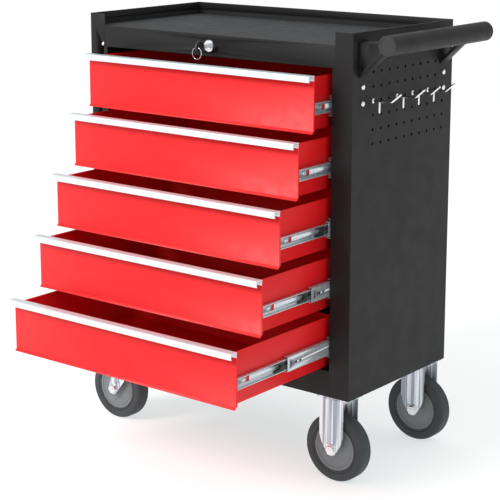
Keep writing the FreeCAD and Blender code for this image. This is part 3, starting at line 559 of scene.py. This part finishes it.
def rivets():
    """Flat rivets that hold the back sheet to the side panels' flanges."""
    bm = bmesh.new()
    inset = 8 * MM
    end_gap = 40 * MM
    rows = 6
    for side in SIDES:
        x = MID_X + side * ((CABINET_HIGH.x - LEFT_LOW.x) / 2 - inset)
        for row in range(rows):
            z = UNDER + end_gap + row * (RIM - UNDER - 2 * end_gap) / (rows - 1)
            lathe_into(bm, [(0, 0), (3.4 * MM, 0), (3.2 * MM, 0.7 * MM), (2.2 * MM, 1.1 * MM),
                            (0.9 * MM, 1.2 * MM), (0.8 * MM, 0.6 * MM), (0, 0.6 * MM)],
                       (x, BACK, z), (0, 1, 0), 20)
    dress(make("back_rivets", bm, 40), "black_paint", "cabinet")


rivets()


# ---- drawers ----

SLIDE_WALL = 1.2 * MM
INNER_DEEP = 8.2 * MM
INNER_SCREWS = (24 * MM, 170 * MM)
MIDDLE_WEB = 10.5 * MM
MIDDLE_TIP = 2 * MM


def drawer_hems(number):
    """Rolled rims on a drawer's side walls and back wall."""
    low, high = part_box(f"drawer_{number}")
    inner_low, inner_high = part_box(f"slide_inner_{number}")
    radius = 1.5 * MM
    half = (inner_high.x - inner_low.x) / 2 - INNER_DEEP - radius
    below_face_top = 4.5 * MM
    up = high.z - below_face_top - radius * 0.6
    front = low.y + 10 * MM
    rear = high.y - radius
    bend = 5 * MM
    outline = rounded([(-half, front), (-half, rear), (half, rear), (half, front)], bend, False)
    bm = bmesh.new()
    sweep_into(bm, [(MID_X + x, y, up) for x, y in outline], radius, 10)
    dress(make(f"drawer_hem_{number}", bm), "red_paint", f"drawer_{number}")


def drawer_pull(number):
    """The extruded grip: flat top, rolled nose, short lip with a bead."""
    node = f"drawer_pull_{number}"
    low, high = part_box(node)
    wall = 1.5 * MM
    tongue = 9.5 * MM
    gap = 0.1 * MM
    top = high.z
    nose = low.y
    lip = low.z
    bead = 2.6 * MM
    face = high.y - 1.2 * MM
    outline = rounded(
        [(high.y, top - gap), (nose, top), (nose, lip), (nose + bead, lip), (nose + bead, lip + 1.4 * MM),
         (nose + wall, lip + 2.2 * MM), (nose + wall, top - wall), (face - wall, top - wall),
         (face - wall, top - tongue), (face - gap, top - tongue), (face - gap, top - wall),
         (high.y, top - wall)],
        [0.3 * MM, 2.0 * MM, 0.7 * MM, 0.5 * MM, 0.3 * MM, 0.3 * MM, 0.9 * MM, 0.6 * MM, 0.3 * MM,
         0.3 * MM, 0.2 * MM, 0.3 * MM])
    bm = bmesh.new()
    into(bm, outline, "YZ", low.x, high.x)
    dress(make(f"drawer_grip_{number}", bm, 50), "aluminium", f"drawer_{number}", stands_for=[node])


def slide_member(number, stage, body, web, tip, holes, windows=()):
    """Both channels of one slide member, with bent flanges and punched holes.

    web and tip are measured outward from the drawer's side; holes are (along, up, radius)
    and windows (along, up, half length, half height), along from the member's front end.
    """
    node = f"slide_{stage}_{number}"
    low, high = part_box(node)
    _, inner_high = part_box(f"slide_inner_{number}")
    base = inner_high.x - MID_X - INNER_DEEP
    reach = (high.z - low.z) / 2
    height = middle(low.z, high.z)
    inside = web + (SLIDE_WALL if tip > web else -SLIDE_WALL)
    section = rounded(
        [(tip, -reach), (web, -reach), (web, reach), (tip, reach), (tip, reach - SLIDE_WALL),
         (inside, reach - SLIDE_WALL), (inside, SLIDE_WALL - reach), (tip, SLIDE_WALL - reach)],
        [0.3 * MM, 2.2 * MM, 2.2 * MM, 0.3 * MM, 0.3 * MM, 1.1 * MM, 1.1 * MM, 0.3 * MM])
    bm = bmesh.new()
    for side in SIDES:
        into(bm, [(MID_X + side * (base + x), height + z) for x, z in section], "XZ", low.y, high.y)
    member = make(f"slide_{stage}_rail_{number}", bm, 35)
    cutter = bmesh.new()
    beyond = 10 * MM
    span = (low.x - beyond, high.x + beyond)
    for along, up, radius in holes:
        lathe_into(cutter, [(0, 0), (radius, 0), (radius, span[1] - span[0]), (0, span[1] - span[0])],
                   (span[0], low.y + along, height + up), (1, 0, 0), 24)
    for along, up, half_long, half_high in windows:
        corners = [(low.y + along + a * half_long, height + up + b * half_high)
                   for a, b in ((-1, -1), (1, -1), (1, 1), (-1, 1))]
        into(cutter, rounded(corners, min(half_long, half_high) * 0.5), "YZ", *span)
    carve(member, make("cutter", cutter))
    dress(member, "zinc_steel", body, stands_for=[node])


def slide_screws(number):
    """Low-headed screws that hold both inner members to their drawer."""
    low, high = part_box(f"slide_inner_{number}")
    height = middle(low.z, high.z)
    base = high.x - MID_X - INNER_DEEP
    bm = bmesh.new()
    for side in SIDES:
        for along in INNER_SCREWS:
            seat = (MID_X + side * base, low.y + along, height)
            lathe_into(bm, [(0, 0), (2.6 * MM, 0), (2.6 * MM, 1.2 * MM), (2.2 * MM, 1.9 * MM),
                            (1.1 * MM, 2.1 * MM), (1.0 * MM, 1.2 * MM), (0, 1.2 * MM)],
                       seat, (side, 0, 0), 24)
    dress(make(f"slide_screws_{number}", bm, 40), "chrome", f"drawer_{number}")


def slide_lever(number):
    """The plastic release lever that lies in each inner member, ahead of the middle one."""
    low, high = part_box(f"slide_inner_{number}")
    height = middle(low.z, high.z)
    base = high.x - MID_X - INNER_DEEP
    front = low.y + 106 * MM
    off_wall = 1.3 * MM
    outer_face = 6.4 * MM
    knob_back = 18 * MM
    outline = [(0, 6.6), (1.5, 8.2), (22, 8.2), (22, -8.2), (1.5, -8.2), (0, -6.6), (0, -4.6), (12, -4.2),
               (14, -2.6), (14, 2.6), (12, 4.2), (0, 4.6)]
    corners = rounded([(front + y * MM, height + z * MM) for y, z in outline], 0.8 * MM)
    bm = bmesh.new()
    for side in SIDES:
        into(bm, corners, "YZ", *sorted(MID_X + side * (base + x) for x in (off_wall, outer_face)))
        knob = (MID_X + side * (base + off_wall), front + knob_back, height)
        lathe_into(bm, [(0, 0), (3 * MM, 0), (3 * MM, 6 * MM), (2.4 * MM, 6.6 * MM), (0, 6.6 * MM)],
                   knob, (side, 0, 0), 24)
    lever = make(f"slide_lever_{number}", bm, 35)
    soften(lever, 0.35 * MM, 2, 50)
    dress(lever, "black_plastic", f"drawer_{number}")


def slide_bumper(number):
    """The crescent buffer that shows through the middle member near its front."""
    low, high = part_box(f"slide_middle_{number}")
    height = middle(low.z, high.z)
    sunk = 1 * MM
    proud = 0.6 * MM
    turns = [math.radians(d) for d in range(-90, 91, 15)]
    outline = [(7.2 + 2.6 * math.cos(a), 6.0 * math.sin(a)) for a in turns]
    outline += [(6.4 + 1.2 * math.cos(a), 5.2 * math.sin(a)) for a in reversed(turns)]
    bm = bmesh.new()
    for side in SIDES:
        skin = high.x if side > 0 else low.x
        span = sorted((skin - side * sunk, skin + side * proud))
        into(bm, [(low.y + y * MM, height + z * MM) for y, z in outline], "YZ", *span)
    dress(make(f"slide_bumper_{number}", bm, 35), "black_plastic", f"slide_{number}")


for number in DRAWERS:
    coat(f"drawer_{number}", "red_paint", BOLD_EDGE)
    drawer_hems(number)
    drawer_pull(number)
    slide_member(number, "inner", f"drawer_{number}", 0, INNER_DEEP,
                 [(along, 0, 2.9 * MM) for along in INNER_SCREWS], [(37 * MM, 0, 4 * MM, 5 * MM)])
    slide_member(number, "middle", f"slide_{number}", MIDDLE_WEB, MIDDLE_TIP,
                 [(37 * MM, 0, 2.2 * MM)], [(24 * MM, 0, 3.4 * MM, 2.2 * MM)])
    slide_screws(number)
    slide_lever(number)
    slide_bumper(number)
coat("slide_outer_members", "zinc_steel", FINE_EDGE, 1)


# ---- push handle and hooks ----

coat("handle_tube", "black_paint", 0)


def handle_caps():
    """Rounded plastic caps with a shallow ring in their face."""
    low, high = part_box("handle_end_caps")
    x = middle(low.x, high.x)
    z = middle(low.z, high.z)
    radius = (high.x - low.x) / 2
    thick = 2 * MM
    plug_radius = radius - 1.7 * MM
    plug_deep = 10 * MM
    profile = [(0, -plug_deep), (plug_radius, -plug_deep), (plug_radius, 0), (radius, 0),
               (radius, thick * 0.4), (radius - 0.3 * MM, thick * 0.75), (radius - 1 * MM, thick),
               (radius - 4 * MM, thick), (radius - 4.5 * MM, thick * 0.7), (0, thick * 0.7)]
    stood = ["handle_end_caps"]
    for name, end, out in (("front", low.y, -1), ("rear", high.y, 1)):
        bm = bmesh.new()
        lathe_into(bm, profile, (x, end - out * thick, z), (0, out, 0), 64)
        dress(make(f"handle_cap_{name}", bm), "black_plastic", "cabinet", stands_for=stood)
        stood = ()


handle_caps()


def peg_hooks():
    """Bent wire hooks in four pegboard holes, each an arm with an upturned end over a leg."""
    wire = 2 * MM
    leg_long = 19 * MM
    leg_out = 13 * MM
    arm_inside = 4 * MM
    arm_out = 37 * MM
    tip_out = 56 * MM
    tip_up = 15 * MM
    bend = 10 * MM
    stood = ["peg_hooks"]
    for number, (low, high) in enumerate(islands("peg_hooks")):
        y = middle(low.y, high.y)
        foot = low.z + wire
        root = foot + leg_long
        wall = CABINET_HIGH.x
        arm = rounded([(wall - arm_inside, root), (wall + arm_out, root), (wall + tip_out, root + tip_up)],
                      bend, False, 8)
        leg = [(wall + leg_out, root), (wall + leg_out, foot)]
        bm = bmesh.new()
        sweep_into(bm, [(x, y, z) for x, z in arm], wire, 16)
        sweep_into(bm, [(x, y, z) for x, z in leg], wire, 16)
        lathe_into(bm, [(0, -0.5 * MM), (4.2 * MM, -0.5 * MM), (4.2 * MM, 0.6 * MM), (2.4 * MM, 1.4 * MM),
                        (0, 1.4 * MM)], (wall, y, root), (1, 0, 0), 24)
        dress(make(f"hook_{number}", bm, 50), "chrome", "cabinet", stands_for=stood)
        stood = ()


peg_hooks()


# ---- lock ----

for name in ("lock_barrel", "lock_cylinder"):
    coat(name, "chrome", SHEET_EDGE, 3)
coat("lock_nut", "zinc_steel", FINE_EDGE, 1)


def key():
    """A moulded bow with a dished face and a ring hole, on a cut steel blade."""
    low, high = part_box("key")
    x = middle(low.x, high.x)
    z = middle(low.z, high.z)
    bow = 11 * MM
    blade_half = 3.5 * MM
    blade_start = 9 * MM
    blade_thick = 2 * MM
    hole_radius = 2.3 * MM
    hole_ahead = 7 * MM
    through = 10 * MM
    y = low.y + bow
    thick = (high.x - low.x) / 2
    bm = bmesh.new()
    rim = [(0, thick * 0.62), (bow * 0.66, thick * 0.62), (bow * 0.74, thick * 0.95),
           (bow * 0.90, thick), (bow * 0.98, thick * 0.8), (bow, thick * 0.3)]
    lathe_into(bm, mirrored(rim), (x, y, z), (1, 0, 0), 48)
    head = make("key_bow", bm, 40)
    hole = bmesh.new()
    lathe_into(hole, [(0, -through), (hole_radius, -through), (hole_radius, through), (0, through)],
               (x, y - hole_ahead, z), (1, 0, 0), 24)
    carve(head, make("cutter", hole))
    dress(head, "black_plastic", "lock", stands_for=["key"])
    outline = [(y + blade_start, z - blade_half)]
    for step, depth in enumerate((1.2, 0.3, 1.6, 0.6, 1.1)):
        notch = high.y - (14 - step * 2.6) * MM
        outline += [(notch - 0.8 * MM, z - blade_half), (notch, z - blade_half + depth * MM),
                    (notch + 0.8 * MM, z - blade_half)]
    outline += [(high.y, z - 2.4 * MM), (high.y, z + 2.4 * MM), (high.y - 1.6 * MM, z + blade_half),
                (y + blade_start, z + blade_half)]
    bm = bmesh.new()
    into(bm, outline, "YZ", x - blade_thick / 2, x + blade_thick / 2)
    dress(make("key_blade", bm, 35), "zinc_steel", "lock")


def key_ring():
    """A split ring: two coils of round wire side by side."""
    low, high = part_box("key_ring")
    centre = middle(low, high)
    wire = 0.46 * MM
    apart = 0.43 * MM
    radius = (high.z - low.z) / 2 - 0.9 * MM
    path = []
    steps = 144
    for step in range(steps):
        a = 2 * math.tau * step / steps
        spot = Vector((radius * math.cos(a), apart * math.cos(a / 2), radius * math.sin(a)))
        path.append(centre + spot)
    bm = bmesh.new()
    sweep_into(bm, path, wire, 10, True)
    dress(make("split_ring", bm, 60), "chrome", "key_ring", stands_for=["key_ring"])


key()
key_ring()


# ---- casters ----

for name in ("swivel_plates", "caster_bolts"):
    coat(name, "zinc_steel")

FORK_SHEET = 1.9 * MM
FORK_INNER = 22.5 * MM
RIB_HIGH = 3.2 * MM
FORK_TOP = 25.3 * MM
PLATE_THICK = 3 * MM
EYE = 11 * MM
TIP_HALF = 0.6 * MM
FORK_CREASE_ANGLE = 14


def ease(value, low, high):
    """A smooth step from 0 to 1 between two values."""
    share = min(1, max(0, (value - low) / (high - low)))
    return share * share * (3 - 2 * share)


def pressed_leg(bm, rows, inner, outward, creases, rise):
    """A sheet leg from (z, left, right) rows, its middle pressed outward in a rib.

    inner is the y of the face beside the wheel and outward is +1 or -1; creases are the four
    shares of the width where the rib's flanks start and end, and rise gives its height, from
    0 to 1, at one z.
    """
    shares = [0, 0.03, *creases, 0.97, 1]
    relief = [0, 0, 0, 1, 1, 0, 0, 0]
    steps = 4
    fine = []
    for one, two, up_one, up_two in zip(shares, shares[1:], relief, relief[1:]):
        fine += [(one + (two - one) * k / steps, up_one + (up_two - up_one) * k / steps)
                 for k in range(steps)]
    fine.append((1, 0))
    grids = []
    for offset in (0, FORK_SHEET):
        grid = []
        for z, left, right in rows:
            lift = rise(z) * RIB_HIGH
            grid.append([bm.verts.new((left + (right - left) * share,
                                       inner + outward * (offset + up * lift), z)) for share, up in fine])
        grids.append(grid)
    for row in range(len(rows) - 1):
        for k in range(len(fine) - 1):
            for grid in grids:
                bm.faces.new((grid[row][k], grid[row][k + 1], grid[row + 1][k + 1], grid[row + 1][k]))
    edge = [(row, 0) for row in range(len(rows))]
    edge += [(len(rows) - 1, k) for k in range(1, len(fine))]
    edge += [(row, len(fine) - 1) for row in range(len(rows) - 2, -1, -1)]
    edge += [(0, k) for k in range(len(fine) - 2, 0, -1)]
    stitch(bm, *([grid[row][k] for row, k in edge] for grid in grids))


def wheel_centre(row, side):
    """The middle of one wheel, where its axle runs."""
    low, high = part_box(f"tyre_{side}_{row}")
    return middle(low, high)


def eye_half(z, centre_z):
    """Half width of the round axle eye at one height, never quite nothing."""
    return max(TIP_HALF, math.sqrt(max(0, EYE * EYE - (z - centre_z) ** 2)))


def steps_down(top, bottom, count):
    """Even heights from the top, without the bottom."""
    return [top - (top - bottom) * k / count for k in range(count)]


def eye_heights(top, tip):
    """Heights round the lower part of an axle eye, closer together towards its tip."""
    return [top - (top - tip) * math.sin(math.pi / 2 * k / 8) for k in range(9)]


def rigid_fork(row):
    """A straight pressed fork under its bolted plate."""
    _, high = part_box("rigid_forks")
    centre = wheel_centre(row, "right")
    top = high.z - PLATE_THICK
    shoulder = centre.z + 28 * MM
    foot = centre.z - 4.7 * MM
    foot_half = 10 * MM
    belly = 2.6 * MM
    heights = steps_down(top, shoulder, 10) + steps_down(shoulder, foot, 16)
    heights += eye_heights(foot, centre.z - EYE)
    rows = []
    for z in heights:
        if z >= shoulder:
            half = FORK_TOP
        elif z > foot:
            share = (shoulder - z) / (shoulder - foot)
            half = FORK_TOP + (foot_half - FORK_TOP) * share + belly * math.sin(math.pi * share)
        else:
            half = eye_half(z, centre.z)
        rows.append((z, centre.x - half, centre.x + half))

    def rise(z):
        return ease(z, centre.z + 9 * MM, centre.z + 13 * MM)

    bm = bmesh.new()
    for end in SIDES:
        pressed_leg(bm, rows, centre.y + end * FORK_INNER, end, (0.22, 0.33, 0.69, 0.80), rise)
    plate_long = 70 * MM
    plate_half = 24 * MM
    dish = 3 * MM
    block_into(bm, (high.x - plate_long, centre.y - plate_half, top),
               (high.x, centre.y + plate_half, high.z))
    lathe_into(bm, [(0, 0), (19 * MM, 0), (19 * MM, -1.2 * MM), (15 * MM, -dish), (0, -dish)],
               (centre.x, centre.y, top), (0, 0, 1), 40)
    fork = make(f"rigid_fork_{row}", bm, FORK_CREASE_ANGLE)
    dress(fork, "zinc_with_painted_reflections", "cabinet", ["rigid_forks"] if row == "front" else ())


def bored_plate(bm, centre, half, bore, low, high):
    """A rectangular plate with its corners cut and a round hole in its middle."""
    centre = Vector(centre)
    corners = [Vector((x * half[0], y * half[1])) for x, y in ((1, -1), (1, 1), (-1, 1), (-1, -1))]
    steps = 16
    corner_cut = 0.965
    edge = []
    for corner, following in zip(corners, corners[1:] + corners[:1]):
        edge.append(corner * corner_cut)
        edge += [corner.lerp(following, step / steps) for step in range(1, steps)]
    hole = [bore * Vector(turn) for turn in circle(4 * steps, -math.pi / 4)]
    rings = [[bm.verts.new((*(centre + spot), z)) for spot in loop]
             for loop, z in ((hole, low), (edge, low), (edge, high), (hole, high))]
    for one, two in zip(rings, rings[1:] + rings[:1]):
        stitch(bm, one, two)


def swivel_fork(row):
    """A raked pressed fork under a domed race cap."""
    _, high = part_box(f"swivel_fork_{row}")
    centre = wheel_centre(row, "left")
    pivot = high.x - FORK_TOP
    cap_rise = 5.6 * MM
    crown = high.z - cap_rise
    left_meets = Vector((-10.7, 2.5)) * MM
    right_meets = Vector((8.9, -6.4)) * MM
    foot = centre.z + right_meets.y
    left_edge = [(pivot - FORK_TOP, crown), (pivot - FORK_TOP - 6 * MM, crown - 26 * MM),
                 (centre.x + left_meets.x, centre.z + left_meets.y)]
    right_edge = [(pivot + FORK_TOP, crown), (pivot + FORK_TOP, crown - 20 * MM),
                  (centre.x + right_meets.x, foot)]

    def across(edge, side, z):
        """The x of one edge at a height: its straight runs, then the round of the eye."""
        for (x_one, z_one), (x_two, z_two) in zip(edge, edge[1:]):
            if z >= z_two:
                return x_one + (x_two - x_one) * (z_one - z) / (z_one - z_two)
        return centre.x + side * eye_half(z, centre.z)

    heights = steps_down(crown, foot, 34) + eye_heights(foot, centre.z - EYE)
    rows = [(z, across(left_edge, -1, z), across(right_edge, 1, z)) for z in heights]

    def rise(z):
        starts = ease(z, centre.z + 12 * MM, centre.z + 18 * MM)
        return starts * (1 - ease(z, crown - 12 * MM, crown - PLATE_THICK))

    bm = bmesh.new()
    for end in SIDES:
        pressed_leg(bm, rows, centre.y + end * FORK_INNER, end, (0.22, 0.34, 0.66, 0.78), rise)
    bore = 5.2 * MM
    plate_half = (FORK_TOP, FORK_INNER + FORK_SHEET)
    bored_plate(bm, (pivot, centre.y), plate_half, bore, crown - PLATE_THICK, crown)
    lathe_into(bm, [(bore, -0.5 * MM), (24 * MM, -0.5 * MM), (24 * MM, 1.6 * MM), (23 * MM, 3.6 * MM),
                    (21 * MM, 4.8 * MM), (19 * MM, 5.4 * MM), (15 * MM, cap_rise), (bore, cap_rise)],
               (pivot, centre.y, crown), (0, 0, 1), 64)
    fork = make(f"swivel_leg_{row}", bm, FORK_CREASE_ANGLE)
    dress(fork, "zinc_with_painted_reflections", f"swivel_{row}", [f"swivel_fork_{row}"])


def hex_head(bm, centre, axis, radius, height):
    """A chamfered hexagon standing on a place."""
    turn = Vector((0, 0, 1)).rotation_difference(Vector(axis)).to_matrix()
    rings = []
    for share, up in ((1, 0), (1, 0.78), (0.86, 1), (0.55, 1)):
        size = radius * share
        rings.append([bm.verts.new(Vector(centre) + turn @ Vector((size * c, size * s, height * up)))
                      for c, s in circle(6)])
    bm.faces.new(rings[0][::-1])
    bm.faces.new(rings[-1])
    for one, two in zip(rings, rings[1:]):
        stitch(bm, one, two)


def axle(name, node, body, row, side, first):
    """An axle bolt with a washer, a hexagon and a threaded end at each side of its fork.

    Only the first of the pieces that make up one node stands for it.
    """
    centre = wheel_centre(row, side)
    bm = bmesh.new()
    face = FORK_INNER + FORK_SHEET
    shank = 5 * MM
    washer = 1.1 * MM
    lathe_into(bm, [(0, -face), (shank, -face), (shank, face), (0, face)], centre, (0, 1, 0), 32)
    for end in SIDES:
        seat = Vector((centre.x, centre.y + end * face, centre.z))
        lathe_into(bm, [(0, 0), (10.4 * MM, 0), (10.6 * MM, 0.7 * MM), (10 * MM, washer), (0, washer)],
                   seat, (0, end, 0), 40)
        hex_head(bm, seat + Vector((0, end * washer, 0)), (0, end, 0), 9.4 * MM, 3.9 * MM)
        lathe_into(bm, [(0, 0), (4.6 * MM, 0), (4.6 * MM, 4.6 * MM), (3.9 * MM, 5.3 * MM), (0, 5.4 * MM)],
                   seat, (0, end, 0), 24)
    dress(make(name, bm, 30), "chrome", body, stands_for=[node] if first else ())


def wheel(corner):
    """Tyre with rounded shoulders and a bead line, on a dished hub with six moulded marks."""
    low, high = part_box("tyre_" + corner)
    centre = middle(low, high)
    radius = (high.z - low.z) / 2
    half = (high.y - low.y) / 2
    hub = 42 * MM
    round_off = 6.5 * MM
    shoulder = [(radius - round_off + round_off * math.sin(a), half - round_off + round_off * math.cos(a))
                for a in (math.radians(d) for d in range(0, 91, 10))]
    side = [(hub + r * MM, half - w * MM) for r, w in (
        (0, 2.2), (0.6, 1.3), (3.0, 1.1), (3.5, 1.8), (4.5, 1.8), (5.0, 0.8), (6.4, 0.3), (8, 0))]
    bm = bmesh.new()
    lathe_into(bm, mirrored(side + shoulder), centre, (0, 1, 0), 112)
    body = f"wheel_{corner}"
    dress(make(f"tyre_tread_{corner}", bm, 35), "tyre_grey", body, stands_for=["tyre_" + corner])
    bm = bmesh.new()
    face = [(r * MM, w * MM) for r, w in (
        (5.05, 22.0), (9.4, 22.0), (11.0, 21.2), (12.0, 19.6), (13.2, 14.2), (15.2, 12.6), (33.6, 12.6),
        (34.2, 13.1), (35.4, 13.1), (36.0, 12.3), (37.4, 12.3), (38.0, 13.3), (42.0, 13.4))]
    lathe_into(bm, mirrored(face), centre, (0, 1, 0), 112)
    mark_out = 27 * MM
    mark_seat = 12.4 * MM
    for end in SIDES:
        for c, s in circle(6, 0.3):
            spot = centre + Vector((mark_out * c, end * mark_seat, mark_out * s))
            lathe_into(bm, [(0, 0), (1.9 * MM, 0), (1.9 * MM, 0.5 * MM), (1.5 * MM, 0.8 * MM),
                            (0, 0.8 * MM)], spot, (0, end, 0), 16)
    dress(make(f"hub_moulding_{corner}", bm, 30), "hub_grey", body, stands_for=["hub_" + corner])


for row in ROWS:
    rigid_fork(row)
    swivel_fork(row)
    axle(f"rigid_axle_{row}", "rigid_axles", "cabinet", row, "right", row == "front")
    axle(f"swivel_axle_bolt_{row}", f"swivel_axle_{row}", f"swivel_{row}", row, "left", True)
for side in ("left", "right"):
    for row in ROWS:
        wheel(f"{side}_{row}")


# ---- stage ----

def floor():
    """A pale floor far larger than the view.

    It gives off light of its own, a little less red, so that it reaches studio white and
    shows less of the red that the drawers throw on it.
    """
    reach = 40
    bm = bmesh.new()
    corners = [(-reach, -reach), (reach, -reach), (reach, reach), (-reach, reach)]
    bm.faces.new([bm.verts.new((x, y, 0)) for x, y in corners])
    ground = make("floor", bm)
    paper = Shader("studio_floor", (0.575, 0.53, 0.53), 0.9, Specular_IOR_Level=0.0)
    paper.surface.inputs["Emission Color"].default_value = (0.93, 1, 1, 1)
    paper.surface.inputs["Emission Strength"].default_value = 0.62
    paper.tint(paper.noise(2, 2), 0.002)
    ground.data.materials.append(paper.material)


def area_light(name, place, target, size, power):
    """A round soft light aimed at a point."""
    lamp = bpy.data.lights.new(name, "AREA")
    lamp.shape = "DISK"
    lamp.size = size
    lamp.energy = power
    thing = bpy.data.objects.new(name, lamp)
    thing.location = place
    thing.rotation_euler = (Vector(target) - Vector(place)).to_track_quat("-Z", "Y").to_euler()
    bpy.context.scene.collection.objects.link(thing)


def lighting():
    """A white surround and one soft key light from high at the front left."""
    world = bpy.data.worlds.new("studio")
    world.use_nodes = True
    backdrop = world.node_tree.nodes["Background"]
    backdrop.inputs["Color"].default_value = (1, 1, 1, 1)
    backdrop.inputs["Strength"].default_value = 0.72
    bpy.context.scene.world = world
    area_light("key", place=(-1.3, -3.5, 3.0), target=(0, 0, 0.4), size=1.8, power=130)


def camera():
    """The view from the front right, a little above the cart."""
    lens_pixels = 1541
    frame_pixels = 500
    place = (1.7419, -2.1494, 1.0788)
    tilt_down = 0.2117
    turn = 0.6713
    view = bpy.data.cameras.new("camera")
    view.sensor_width = 36
    view.lens = lens_pixels * view.sensor_width / frame_pixels
    view.shift_y = -0.1
    view.clip_end = 200
    thing = bpy.data.objects.new("camera", view)
    thing.location = place
    thing.rotation_euler = (math.pi / 2 - tilt_down, 0, turn)
    bpy.context.scene.collection.objects.link(thing)
    bpy.context.scene.camera = thing


floor()
lighting()
camera()
bpy.context.scene.view_settings.view_transform = "Standard"
